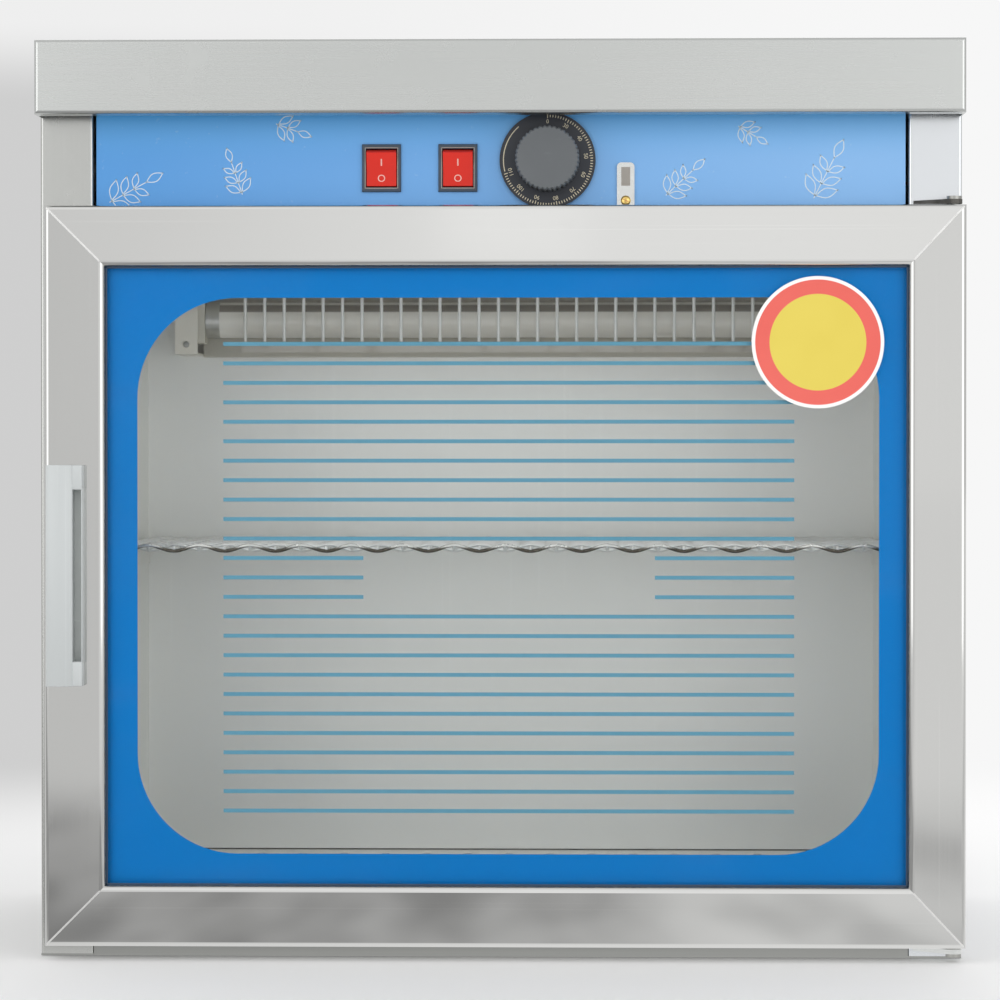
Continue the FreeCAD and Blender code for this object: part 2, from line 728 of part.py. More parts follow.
def keep(thing, node):
    """Registers a finished sub-part under its node name."""
    thing.Label = node
    if thing.Label != node:
        raise ValueError("the name {} is taken".format(node))
    PARTS.append(thing)
    return thing


PLANES = {"xy": "XY_Plane", "xz": "XZ_Plane", "yz": "YZ_Plane"}


def section(body, name, plane, outline, level):
    """A closed polygon sketch whose every corner is held by the sheet."""
    sketch = body.newObject("Sketcher::SketchObject", name)
    support = next(f for f in body.Origin.OriginFeatures if f.Role == PLANES[plane])
    sketch.AttachmentSupport = [(support, "")]
    sketch.MapMode = "FlatFace"
    bind(sketch, "AttachmentOffset.Base.z", level)
    corners = [(as_size(u), as_size(v)) for u, v in outline]
    points = [FreeCAD.Vector(u.number, v.number, 0) for u, v in corners]
    for index, point in enumerate(points):
        sketch.addGeometry(Part.LineSegment(point, points[(index + 1) % len(points)]), False)
    for index in range(len(points)):
        following = (index + 1) % len(points)
        sketch.addConstraint(Sketcher.Constraint("Coincident", index, 2, following, 1))
    for index, corner in enumerate(corners):
        for direction, size in zip(("DistanceX", "DistanceY"), corner):
            rule = Sketcher.Constraint(direction, -1, 1, index, 1, size.number)
            row = sketch.addConstraint(rule)
            bind(sketch, "Constraints[{}]".format(row), size)
    return sketch


def pad(body, name, plane, outline, low, high):
    """Adds the outline from level low to level high of the plane's own axis."""
    low, high = as_size(low), as_size(high)
    level = -high if plane == "xz" else low
    sketch = section(body, name + "_section", plane, outline, level)
    feature = body.newObject("PartDesign::Pad", name)
    feature.Profile = sketch
    bind(feature, "Length", high - low)
    return feature


def pocket(body, name, plane, outline, low, high):
    """Removes the outline from level low to level high."""
    low, high = as_size(low), as_size(high)
    level = -low if plane == "xz" else high
    sketch = section(body, name + "_section", plane, outline, level)
    doc.recompute()
    before = body.Shape.Volume
    feature = body.newObject("PartDesign::Pocket", name)
    feature.Profile = sketch
    bind(feature, "Length", high - low)
    doc.recompute()
    if not body.Shape.Volume < before:
        raise ValueError(name + " removed nothing")
    return feature


def folded(name, plane, outline, low, high):
    body = doc.addObject("PartDesign::Body", name)
    pad(body, name + "_pad", plane, outline, low, high)
    return body


def edges_at(shape, axis, **where):
    """Names of the straight edges along an axis whose middle is at the given places."""
    found = []
    for number, edge in enumerate(shape.Edges, 1):
        if not isinstance(edge.Curve, Part.Line):
            continue
        along = edge.Curve.Direction
        middle = edge.CenterOfMass
        if abs(abs(getattr(along, axis)) - 1) > 1e-6:
            continue
        if all(abs(getattr(middle, key) - float(place)) < 0.01 for key, place in where.items()):
            found.append("Edge{}".format(number))
    return found


def round_edges(body, name, radius, *places):
    """Fillets the body's edges; each place is (axis, {coordinate: value})."""
    doc.recompute()
    base = body.Tip
    names = []
    for axis, where in places:
        hits = edges_at(base.Shape, axis, **where)
        if not hits:
            raise ValueError(name + ": no edge at " + str(where))
        names.extend(hits)
    feature = body.newObject("PartDesign::Fillet", name)
    feature.Base = (base, names)
    bind(feature, "Radius", radius)
    body.Tip = feature
    doc.recompute()
    return feature


def rectangle(left, right, low, high):
    return [(left, low), (right, low), (right, high), (left, high)]


def grown(amount, left, right, low, high):
    """A rectangle's four sides moved outwards by an amount."""
    return left - amount, right + amount, low - amount, high + amount


def ring(name, outer, inner, y):
    """A flat frame between two rectangles, from y[0] to y[1]."""
    past = (y[0] - CUT_PAST, y[1] + CUT_PAST)
    around = block(name + "_outer", outer[0:2], y, outer[2:4])
    hole = block(name + "_hole", inner[0:2], past, inner[2:4])
    return cut(name, around, hole)


def bent_path(points, bend):
    """Straight runs joined by tangent arcs of one radius."""
    corners = [FreeCAD.Vector(*[float(c) for c in point]) for point in points]
    edges = []
    start = corners[0]
    for before, corner, after in zip(corners, corners[1:], corners[2:]):
        into = (corner - before).normalize()
        out = (after - corner).normalize()
        turn = into.getAngle(out)
        reach = bend * math.tan(turn / 2)
        first = corner - into * reach
        last = corner + out * reach
        inward = (out - into).normalize()
        middle = corner + inward * (bend / math.cos(turn / 2) - bend)
        if (first - start).Length > 1e-6:
            edges.append(Part.LineSegment(start, first).toShape())
        edges.append(Part.Arc(first, middle, last).toShape())
        start = last
    edges.append(Part.LineSegment(start, corners[-1]).toShape())
    return Part.Wire(edges)


def bent_rod(points, bend, radius):
    """A round bar along a bent path."""
    path = bent_path(points, bend)
    first, second = path.Vertexes[0].Point, path.Edges[0].tangentAt(path.Edges[0].FirstParameter)
    circle = Part.Wire([Part.Circle(first, second, radius).toShape()])
    return path.makePipeShell([circle], True, False)


def shaped(name, shape):
    feature = doc.addObject("Part::Feature", name)
    feature.Shape = shape
    return feature


# ---------------------------------------------------------------- cabinet shell

def screw_heights():
    """Heights of the rear panel's screws."""
    span = body_height - 2 * screw_margin
    gaps = int(float(screw_rows)) - 1
    return [screw_margin + span * row / gaps for row in range(gaps + 1)]


def side_panel(node, sign):
    """Outer wall, front post, the post's return and the rear flange, in one fold."""
    outline = [
        (side_x, front_y),
        (side_x, rear_y - shell_sheet),
        (side_x - rear_flange, rear_y - shell_sheet),
        (side_x - rear_flange, rear_y - 2 * shell_sheet),
        (side_x - shell_sheet, rear_y - 2 * shell_sheet),
        (side_x - shell_sheet, front_y + shell_sheet),
        (chamber_x + shell_sheet, front_y + shell_sheet),
        (chamber_x + shell_sheet, return_end),
        (chamber_x, return_end),
        (chamber_x, front_y),
    ]
    outline = [(sign * x, y) for x, y in outline]
    fold = folded(node + "_fold", "xy", outline, shell_sheet, plate_top)
    corners = [("z", {"x": sign * x, "y": front_y}) for x in (side_x, chamber_x)]
    round_edges(fold, node + "_bends", shell_bend, *corners)
    holes = []
    for row, height in enumerate(screw_heights()):
        start = (sign * (side_x - screw_inset), rear_y - rear_flange, height)
        name = "{}_screw_hole_{}".format(node, row)
        holes.append(rod(name, screw_radius, "y", start, rear_flange))
    return fold, holes


left_fold, left_holes = side_panel("left_side_panel", -1)
keep(cut("left_side_panel", left_fold, *left_holes), "left_side_panel")

hinge_leg_left = chamber_x + shell_sheet + hinge_leg_inner_gap
hinge_leg_right = side_x - shell_sheet - hinge_leg_outer_gap
right_fold, right_holes = side_panel("right_side_panel", 1)
for end, low in (("top", top_plate_low), ("bottom", bottom_plate_low)):
    right_holes.append(block(
        "hinge_slot_" + end,
        (hinge_leg_left, hinge_leg_right),
        (front_y - CUT_PAST, front_y + shell_sheet),
        (low, low + hinge_plate)))
keep(cut("right_side_panel", right_fold, *right_holes), "right_side_panel")

base_plate = block("base_plate", (-side_x, side_x), (front_y, rear_y), (0, shell_sheet))
base_rail = block(
    "base_rail", (-chamber_x, chamber_x), (front_y, front_y + shell_sheet),
    (shell_sheet, chamber_floor))
base_lip = block(
    "base_lip", (-chamber_x, chamber_x), (front_y + shell_sheet, return_end),
    (chamber_floor - shell_sheet, chamber_floor))
keep(fuse("base_pan", base_plate, base_rail, base_lip), "base_pan")

header_outline = [
    (front_y, header_bottom),
    (return_end, header_bottom),
    (return_end, header_bottom + shell_sheet),
    (front_y + shell_sheet, header_bottom + shell_sheet),
    (front_y + shell_sheet, header_top - shell_sheet),
    (front_y + header_shelf, header_top - shell_sheet),
    (front_y + header_shelf, header_top),
    (front_y, header_top),
]
keep(folded("header_rail", "yz", header_outline, -chamber_x, chamber_x), "header_rail")


def top_cap():
    """Lid plate with a deep folded nose that hangs over the control panel."""
    nose = folded(
        "cap_nose", "xy", rectangle(-side_x, side_x, cap_front, front_y), cap_bottom, body_height)
    round_edges(
        nose, "cap_bends", cap_bend,
        ("x", {"y": cap_front, "z": body_height}),
        ("x", {"y": cap_front, "z": cap_bottom}),
        ("z", {"x": -side_x, "y": cap_front}),
        ("z", {"x": side_x, "y": cap_front}))
    inner_x = side_x - shell_sheet
    hollow = block(
        "cap_hollow", (-inner_x, inner_x), (cap_front + shell_sheet, front_y + CUT_PAST),
        (cap_bottom + shell_sheet, plate_top))
    throat = block(
        "cap_throat", (-inner_x, inner_x), (cap_front + cap_hem, front_y + CUT_PAST),
        (cap_bottom - CUT_PAST, plate_top))
    lid = block("cap_lid", (-side_x, side_x), (front_y, rear_y), (plate_top, body_height))
    return fuse("top_cap", cut("cap_shell", nose, hollow, throat), lid)


keep(top_cap(), "top_cap")


def rear_panel():
    """Flat back with louvre slots, the cord gland's hole and screw holes."""
    thick = (rear_y - shell_sheet, rear_y)
    plate = block("rear_plate", (-side_x, side_x), thick, (shell_sheet, plate_top))
    through = (rear_y - shell_sheet - CUT_PAST, rear_y + CUT_PAST)
    depth = through[1] - through[0]
    holes = [rod("gland_hole", gland_neck, "y", (gland_x, through[0], gland_z), depth)]
    for side in (-1, 1):
        for row in range(int(float(vent_count))):
            middle = side * vent_spread / 2
            low = plate_top - vent_drop - row * vent_pitch
            holes.append(block(
                "vent_{}_{}".format("left" if side < 0 else "right", row),
                (middle - vent_width / 2, middle + vent_width / 2), through, (low - vent_height, low)))
        for row, height in enumerate(screw_heights()):
            start = (side * (side_x - screw_inset), through[0], height)
            name = "rear_screw_hole_{}_{}".format("left" if side < 0 else "right", row)
            holes.append(rod(name, screw_radius, "y", start, depth))
    return cut("rear_panel", plate, *holes)


keep(rear_panel(), "rear_panel")


def rear_screws():
    screws = []
    for side in (-1, 1):
        for row, height in enumerate(screw_heights()):
            name = "rear_screw_{}_{}".format("left" if side < 0 else "right", row)
            x = side * (side_x - screw_inset)
            head = rod(name + "_head", screw_head_radius, "y", (x, rear_y, height), screw_head_height)
            start = (x, rear_y - screw_length, height)
            shank = rod(name + "_shank", screw_radius, "y", start, screw_length)
            screws.append(fuse(name, head, shank))
    return group("rear_panel_screws", *screws)


keep(rear_screws(), "rear_panel_screws")


def cord_gland():
    """Strain relief body outside, neck through the panel and lock nut inside."""
    inside = rear_y - shell_sheet
    outer = rod("gland_body", gland_nut, "y", (gland_x, rear_y, gland_z), gland_proud)
    neck = rod("gland_neck_rod", gland_neck, "y", (gland_x, inside, gland_z), shell_sheet)
    start = (gland_x, inside - gland_nut_length, gland_z)
    nut = rod("gland_lock_nut", gland_nut, "y", start, gland_nut_length)
    length = gland_nut_length + shell_sheet + gland_proud
    bore = rod(
        "gland_bore_rod", gland_bore, "y", (gland_x, inside - gland_nut_length - CUT_PAST, gland_z),
        length + 2 * CUT_PAST)
    return cut("cord_gland", fuse("gland_solid", outer, neck, nut), bore)


keep(cord_gland(), "cord_gland")

# ---------------------------------------------------------------- chamber

for node, sign in (("liner_left", -1), ("liner_right", 1)):
    inner, outer = sign * chamber_x, sign * (chamber_x + liner_sheet)
    wall = block(
        node + "_wall", (inner, outer) if sign > 0 else (outer, inner),
        (return_end, chamber_back), (shell_sheet, gear_floor))
    if sign > 0:
        hole = rod(
            "capillary_hole", capillary_radius + capillary_hole_gap, "x",
            (inner - CUT_PAST, bulb_y, heater_height), liner_sheet + 2 * CUT_PAST)
        wall = cut(node + "_bored", wall, hole)
    keep(wall, node)

keep(block(
    "liner_back", (-chamber_x - liner_sheet, chamber_x + liner_sheet),
    (chamber_back, chamber_back + liner_sheet), (shell_sheet, gear_floor)), "liner_back")
keep(block(
    "chamber_ceiling", (-chamber_x, chamber_x), (front_y + shell_sheet, chamber_back),
    (chamber_top, gear_floor)), "chamber_ceiling")


def heater_cover():
    """Slotted chamber floor on a front and a rear leg."""
    top = block("cover_top", (-chamber_x, chamber_x), (return_end, chamber_back),
                (chamber_floor - shell_sheet, chamber_floor))
    under = (shell_sheet, chamber_floor - shell_sheet)
    across = (-chamber_x, chamber_x)
    front_leg = block("cover_front_leg", across, (return_end, return_end + shell_sheet), under)
    rear_leg = block("cover_rear_leg", across, (chamber_back - shell_sheet, chamber_back), under)
    columns = int((2 * float(chamber_x) - 2 * float(air_slot_margin)) // float(air_slot_pitch))
    slots = []
    starts = (return_end + air_slot_margin, chamber_back - air_slot_margin - air_slot_length)
    for row, start in enumerate(starts):
        for column in range(columns + 1):
            middle = (column - columns / 2) * air_slot_pitch
            slots.append(block(
                "air_slot_{}_{}".format(row, column),
                (middle - air_slot_width / 2, middle + air_slot_width / 2),
                (start, start + air_slot_length),
                (chamber_floor - shell_sheet - CUT_PAST, chamber_floor + CUT_PAST)))
    return cut("heater_cover", fuse("cover_fold", top, front_leg, rear_leg), *slots)


keep(heater_cover(), "heater_cover")

for node, sign in (("shelf_support_left", -1), ("shelf_support_right", 1)):
    angle = [
        (sign * chamber_x, shelf_seat - support_height),
        (sign * chamber_x, shelf_seat),
        (sign * (chamber_x - support_width), shelf_seat),
        (sign * (chamber_x - support_width), shelf_seat - support_sheet),
        (sign * (chamber_x - support_sheet), shelf_seat - support_sheet),
        (sign * (chamber_x - support_sheet), shelf_seat - support_height),
    ]
    keep(folded(node, "xz", angle, return_end, chamber_back), node)

# ---------------------------------------------------------------- heater and its sensor

heater_rear_y = heater_front_y + 2 * heater_turn


def heater_element():
    """U-shaped tubular element with a contact stud at each end."""
    left, bend = float(heater_left), float(heater_bend_x)
    front, rear = float(heater_front_y), float(heater_rear_y)
    level, radius = float(heater_height), float(heater_radius)
    out = Part.LineSegment(FreeCAD.Vector(left, front, level), FreeCAD.Vector(bend, front, level))
    turn = Part.Arc(
        FreeCAD.Vector(bend, front, level),
        FreeCAD.Vector(bend + float(heater_turn), (front + rear) / 2, level),
        FreeCAD.Vector(bend, rear, level))
    back = Part.LineSegment(FreeCAD.Vector(bend, rear, level), FreeCAD.Vector(left, rear, level))
    path = Part.Wire([out.toShape(), turn.toShape(), back.toShape()])
    circle = Part.Circle(FreeCAD.Vector(left, front, level), FreeCAD.Vector(1, 0, 0), radius)
    tube = path.makePipeShell([Part.Wire([circle.toShape()])], True, False)
    studs = [
        Part.makeCylinder(
            float(stud_radius), float(stud_length), FreeCAD.Vector(left, y, level), FreeCAD.Vector(-1, 0, 0))
        for y in (front, rear)]
    return shaped("heater_element", tube.multiFuse(studs))


keep(heater_element(), "heater_element")


def heater_clips():
    """Posts on the base that carry the element and the sensor bulb."""
    top = heater_height - heater_radius
    clips = []
    for end, x in (("left", heater_left + clip_offset), ("right", heater_bend_x - clip_offset)):
        for run, y in (("front", heater_front_y), ("rear", heater_rear_y)):
            clips.append(block(
                "heater_clip_{}_{}".format(end, run),
                (x - clip_width / 2, x + clip_width / 2),
                (y - clip_width / 2, y + clip_width / 2), (shell_sheet, top)))
    bulb_middle = bulb_right_x - bulb_length / 2
    clips.append(block(
        "bulb_clip", (bulb_middle - clip_width / 2, bulb_middle + clip_width / 2),
        (bulb_y - clip_width / 2, bulb_y + clip_width / 2), (shell_sheet, heater_height - bulb_radius)))
    return group("heater_clips", *clips)


keep(heater_clips(), "heater_clips")


def capillary_sensor():
    """Sensing bulb under the floor and its capillary up the wall to the thermostat."""
    back = float(panel_back + thermostat_depth)
    high = float(knob_z - capillary_drop)
    cavity = float(side_x + chamber_x) / 2
    low = float(heater_height)
    points = [
        (knob_x, back, high),
        (knob_x, back + float(capillary_setback), high),
        (cavity, back + float(capillary_setback), high),
        (cavity, bulb_y, high),
        (cavity, bulb_y, low),
        (bulb_right_x, bulb_y, low),
    ]
    capillary = bent_rod(points, float(capillary_bend), float(capillary_radius))
    bulb = Part.makeCylinder(
        float(bulb_radius), float(bulb_length),
        FreeCAD.Vector(float(bulb_right_x), float(bulb_y), low), FreeCAD.Vector(-1, 0, 0))
    return shaped("capillary_sensor", capillary.fuse(bulb))


keep(capillary_sensor(), "capillary_sensor")

# ---------------------------------------------------------------- ultraviolet lamp

channel_low = lamp_height - channel_height / 2
channel_high = lamp_height + channel_height / 2
channel_outline = [
    (channel_front, channel_low),
    (chamber_back, channel_low),
    (chamber_back, channel_low + liner_sheet),
    (channel_front + liner_sheet, channel_low + liner_sheet),
    (channel_front + liner_sheet, channel_high - liner_sheet),
    (chamber_back, channel_high - liner_sheet),
    (chamber_back, channel_high),
    (channel_front, channel_high),
]
keep(folded("lamp_channel", "yz", channel_outline, -end_cover_inner, end_cover_inner), "lamp_channel")


def mirrored_pair(sign, near, far):
    """An (x low, x high) pair on the given side."""
    return (near, far) if sign > 0 else (-far, -near)


def end_covers():
    covers = []
    low, high = lamp_height - end_cover_height / 2, lamp_height + end_cover_height / 2
    for side, sign in (("left", -1), ("right", 1)):
        name = "end_cover_" + side
        outer = block(
            name + "_outer", mirrored_pair(sign, end_cover_inner, end_cover_outer),
            (chamber_back - end_cover_depth, chamber_back), (low, high))
        inner = block(
            name + "_inner", mirrored_pair(sign, end_cover_inner - CUT_PAST, end_cover_outer - liner_sheet),
            (chamber_back - end_cover_depth + liner_sheet, chamber_back + CUT_PAST),
            (low + liner_sheet, high - liner_sheet))
        covers.append(cut(name, outer, inner))
    return group("lamp_end_covers", *covers)


keep(end_covers(), "lamp_end_covers")


def contact_pin(name, sign, height, radius, length):
    start = tube_half if sign > 0 else -tube_half - length
    return rod(name, radius, "x", (start, lamp_y, height), length)


def lampholders():
    holders = []
    for side, sign in (("left", -1), ("right", 1)):
        name = "lampholder_" + side
        near = tube_half + holder_gap
        solid = block(
            name + "_block", mirrored_pair(sign, near, near + holder_length),
            (lamp_y - holder_width / 2, lamp_y + holder_width / 2),
            (lamp_height - holder_height / 2, lamp_height + holder_height / 2))
        sockets = [
            contact_pin(
                "{}_socket_{}".format(name, place), sign, lamp_height + offset * contact_pin_spread / 2,
                contact_pin_radius + running_gap, contact_pin_length + holder_gap)
            for place, offset in (("low", -1), ("high", 1))]
        holders.append(cut(name, solid, *sockets))
    return group("lampholders", *holders)


keep(lampholders(), "lampholders")

tube_outer = rod("tube_outer", tube_radius, "x", (-tube_end, lamp_y, lamp_height), 2 * tube_end)
tube_bore = rod(
    "tube_bore", tube_radius - tube_wall, "x", (-tube_end - CUT_PAST, lamp_y, lamp_height),
    2 * tube_end + 2 * CUT_PAST)
keep(cut("uv_tube", tube_outer, tube_bore), "uv_tube")


def tube_caps():
    caps = []
    for side, sign in (("left", -1), ("right", 1)):
        start = tube_end if sign > 0 else -tube_half
        cap = rod("tube_cap_body_" + side, cap_radius, "x", (start, lamp_y, lamp_height), cap_length)
        pins = [
            contact_pin(
                "tube_pin_{}_{}".format(side, place), sign, lamp_height + offset * contact_pin_spread / 2,
                contact_pin_radius, contact_pin_length)
            for place, offset in (("low", -1), ("high", 1))]
        caps.append(fuse("tube_cap_" + side, cap, *pins))
    return group("uv_tube_caps", *caps)


keep(tube_caps(), "uv_tube_caps")

guard_front = lamp_y - cap_radius - guard_front_gap


def guard_hoops():
    """Wire hoops over the tube, their feet on the channel."""
    low = float(lamp_height) - float(guard_height) / 2
    high = float(lamp_height) + float(guard_height) / 2
    front, back = float(guard_front), float(channel_front)
    path = [(0, back, low), (0, front, low), (0, front, high), (0, back, high)]
    hoop = bent_rod(path, float(guard_bend), float(guard_wire_radius))
    gaps = int(float(guard_count)) - 1
    hoops = []
    for index in range(gaps + 1):
        copy = hoop.copy()
        copy.translate(FreeCAD.Vector(float(guard_half) * (2 * index / gaps - 1), 0, 0))
        hoops.append(copy)
    return shaped("lamp_guard_hoops", Part.makeCompound(hoops))


keep(guard_hoops(), "lamp_guard_hoops")


def guard_rails():
    rail_rear = guard_front - guard_wire_radius
    reach = guard_half + 2 * guard_wire_radius
    rails = []
    for name, offset in (("low", -1), ("high", 1)):
        middle = lamp_height + offset * guard_height / 2
        rails.append(block(
            "guard_rail_" + name, (-reach, reach), (rail_rear - guard_rail_sheet, rail_rear),
            (middle - guard_rail_height / 2, middle + guard_rail_height / 2)))
    return group("lamp_guard_rails", *rails)


keep(guard_rails(), "lamp_guard_rails")

# ---------------------------------------------------------------- electrical gear

ballast_core = block(
    "ballast_core", (ballast_x - ballast_length / 2, ballast_x + ballast_length / 2),
    (gear_y - ballast_width / 2, gear_y + ballast_width / 2), (gear_floor, gear_floor + ballast_height))
ballast_feet = block(
    "ballast_feet",
    (ballast_x - ballast_length / 2 - ballast_foot, ballast_x + ballast_length / 2 + ballast_foot),
    (gear_y - ballast_width / 2, gear_y + ballast_width / 2), (gear_floor, gear_floor + shell_sheet))
keep(fuse("ballast", ballast_core, ballast_feet), "ballast")

starter_socket = block(
    "starter_socket", (starter_x - starter_base / 2, starter_x + starter_base / 2),
    (gear_y - starter_base / 2, gear_y + starter_base / 2), (gear_floor, gear_floor + starter_base_height))
starter_can = rod(
    "starter_can", starter_radius, "z", (starter_x, gear_y, gear_floor + starter_base_height), starter_height)
keep(group("starter", starter_socket, starter_can), "starter")


def terminal_block():
    """Screw connector strip with a clamping screw well over each way."""
    left = terminal_x - terminal_length / 2
    strip = block(
        "terminal_strip", (left, left + terminal_length),
        (gear_y - terminal_width / 2, gear_y + terminal_width / 2),
        (gear_floor, gear_floor + terminal_height))
    ways = int(float(terminal_ways))
    wells = []
    for way in range(ways):
        for side in (-1, 1):
            x = left + terminal_length * (way + 0.5) / ways
            y = gear_y + side * terminal_width / 4
            name = "terminal_well_{}_{}".format(way, "front" if side < 0 else "rear")
            start = (x, y, gear_floor + terminal_height / 2)
            wells.append(rod(name, terminal_screw_radius, "z", start, terminal_height))
    return cut("terminal_block", strip, *wells)


keep(terminal_block(), "terminal_block")

# ---------------------------------------------------------------- control panel and its fittings

pivot_y = panel_front + rocker_pivot_depth
switch_centres = {"left": switch_first_x, "right": switch_first_x + switch_spacing}
bracket_low = header_top + bracket_start
plunger_z = header_top + plunger_rise
window_z = header_top + window_rise
brass_screw_z = header_top + brass_screw_rise


def window_ranges():
    return (
        (door_switch_x - window_width / 2, door_switch_x + window_width / 2),
        (window_z - window_height / 2, window_z + window_height / 2))


def control_panel():
    outline = [
        (panel_front, header_top),
        (panel_front + panel_flange, header_top),
        (panel_front + panel_flange, header_top + shell_sheet),
        (panel_back, header_top + shell_sheet),
        (panel_back, panel_top - shell_sheet),
        (panel_front + panel_flange, panel_top - shell_sheet),
        (panel_front + panel_flange, panel_top),
        (panel_front, panel_top),
    ]
    fold = folded("panel_fold", "yz", outline, -panel_half, panel_half)
    through = (panel_front - CUT_PAST, panel_back + CUT_PAST)
    depth = through[1] - through[0]
    holes = []
    for side, x in switch_centres.items():
        holes.append(block(
            "switch_cutout_" + side, (x - switch_body_width / 2, x + switch_body_width / 2), through,
            (switch_z - switch_body_height / 2, switch_z + switch_body_height / 2)))
    holes.append(rod("neck_hole", neck_radius, "y", (knob_x, through[0], knob_z), depth))
    holes.append(rod(
        "plunger_hole", plunger_radius + running_gap, "y", (door_switch_x, through[0], plunger_z), depth))
    holes.append(rod(
        "brass_screw_hole", brass_screw_shank, "y", (door_switch_x, through[0], brass_screw_z), depth))
    window_x, window_range = window_ranges()
    holes.append(block("panel_window", window_x, through, window_range))
    return cut("control_panel", fold, *holes)


keep(control_panel(), "control_panel")


def rocker_housing(side, x):
    """Bezel on the panel's face and a box behind it, open for the rocker."""
    name = "rocker_housing_" + side
    bezel = block(
        name + "_bezel", (x - bezel_width / 2, x + bezel_width / 2), (panel_front - bezel_proud, panel_front),
        (switch_z - bezel_height / 2, switch_z + bezel_height / 2))
    case = block(
        name + "_case", (x - switch_body_width / 2, x + switch_body_width / 2),
        (panel_front, panel_front + switch_body_depth),
        (switch_z - switch_body_height / 2, switch_z + switch_body_height / 2))
    well = block(
        name + "_well", (x - rocker_width / 2 - rocker_gap, x + rocker_width / 2 + rocker_gap),
        (panel_front - bezel_proud - CUT_PAST, pivot_y + rocker_radius + rocker_gap),
        (switch_z - rocker_radius - rocker_gap, switch_z + rocker_radius + rocker_gap))
    pin_bore = rod(
        name + "_bore", rocker_pin_radius + running_gap, "x", (x - switch_body_width / 2, pivot_y, switch_z),
        switch_body_width)
    return cut(name, fuse(name + "_solid", bezel, case), well, pin_bore)


def rocker(side, x):
    """Red rocker: a slice of a drum about its pin, with two faces that meet in a dip."""
    name = "rocker_" + side
    half = rocker_width / 2
    drum = rod(name + "_drum", rocker_radius, "x", (-half, 0, 0), rocker_width)
    faces = [
        (-rocker_dip, 0),
        (-rocker_crest, rocker_radius + CUT_PAST),
        (rocker_tail, rocker_radius + CUT_PAST),
        (rocker_tail, -rocker_radius - CUT_PAST),
        (-rocker_crest, -rocker_radius - CUT_PAST),
    ]
    slab = folded(name + "_slab", "yz", faces, -half, half)
    pin = rod(name + "_pin", rocker_pin_radius, "x", (-switch_body_width / 2, 0, 0), switch_body_width)
    solid = fuse(name, common(name + "_slice", drum, slab), pin)
    solid.Placement = FreeCAD.Placement(FreeCAD.Vector(), FreeCAD.Rotation(FreeCAD.Vector(1, 0, 0), 1))
    bind(solid, "Placement.Rotation.Angle", rocker_tilt)
    put(solid, x, pivot_y, switch_z)
    return solid


for side, x in switch_centres.items():
    keep(rocker_housing(side, x), "rocker_housing_" + side)
    keep(rocker(side, x), "rocker_" + side)

skirt_back = panel_front - skirt_gap
skirt_front = skirt_back - skirt_thickness
knob_front = skirt_front - knob_height
shaft_rear = panel_back + shaft_grip
shaft_front = skirt_front - knob_bore_depth


def thermostat_body():
    box = block(
        "thermostat_box", (knob_x - thermostat_width / 2, knob_x + thermostat_width / 2),
        (panel_back, panel_back + thermostat_depth),
        (knob_z - thermostat_height / 2, knob_z + thermostat_height / 2))
    neck = rod(
        "thermostat_neck", neck_radius, "y", (knob_x, panel_front - neck_proud, knob_z),
        shell_sheet + neck_proud)
    bore = rod(
        "thermostat_bore", shaft_radius + running_gap, "y",
        (knob_x, panel_front - neck_proud - CUT_PAST, knob_z),
        shaft_grip + shell_sheet + neck_proud + CUT_PAST + running_gap)
    return cut("thermostat_body", fuse("thermostat_solid", box, neck), bore)


keep(thermostat_body(), "thermostat_body")
keep(rod("thermostat_shaft", shaft_radius, "y", (knob_x, shaft_front, knob_z), shaft_rear - shaft_front),
     "thermostat_shaft")

skirt_disc = rod("skirt_disc", skirt_radius, "y", (knob_x, skirt_front, knob_z), skirt_thickness)
skirt_bore = rod(
    "skirt_bore", shaft_radius, "y", (knob_x, skirt_front - CUT_PAST, knob_z), skirt_thickness + 2 * CUT_PAST)
keep(cut("dial_skirt", skirt_disc, skirt_bore), "dial_skirt")


def knob():
    """Grip with a fluted side and a blind bore for the shaft."""
    grip = rod("knob_grip", knob_radius, "y", (knob_x, knob_front, knob_z), knob_height)
    bore = rod("knob_bore", shaft_radius, "y", (knob_x, shaft_front, knob_z), knob_bore_depth + CUT_PAST)
    flutes = [bore]
    count = int(float(flute_count))
    for index in range(count):
        angle = 2 * math.pi * index / count
        across = knob_x + knob_radius * math.cos(angle)
        up = knob_z + knob_radius * math.sin(angle)
        start = (across, knob_front - CUT_PAST, up)
        flutes.append(rod("flute_{}".format(index), flute_radius, "y", start, knob_height + 2 * CUT_PAST))
    return cut("knob", grip, *flutes)


keep(knob(), "knob")

bracket_x = (door_switch_x - bracket_width / 2, door_switch_x + bracket_width / 2)
bracket_high = header_top + bracket_rise
bracket_front = panel_front - bracket_sheet


def door_switch_bracket():
    plate = folded(
        "switch_plate", "xz", rectangle(bracket_x[0], bracket_x[1], bracket_low, bracket_high),
        bracket_front, panel_front)
    round_edges(
        plate, "switch_plate_corners", bracket_corner,
        ("y", {"x": bracket_x[0], "z": bracket_high}), ("y", {"x": bracket_x[1], "z": bracket_high}))
    window_x, window_range = window_ranges()
    through = (bracket_front - CUT_PAST, panel_front + CUT_PAST)
    depth = through[1] - through[0]
    window = block("bracket_window", window_x, through, window_range)
    plunger_hole = rod(
        "bracket_plunger_hole", plunger_radius + running_gap, "y", (door_switch_x, through[0], plunger_z),
        depth)
    screw_hole = rod(
        "bracket_screw_hole", brass_screw_shank, "y", (door_switch_x, through[0], brass_screw_z), depth)
    return cut("door_switch_bracket", plate, window, plunger_hole, screw_hole)


keep(door_switch_bracket(), "door_switch_bracket")


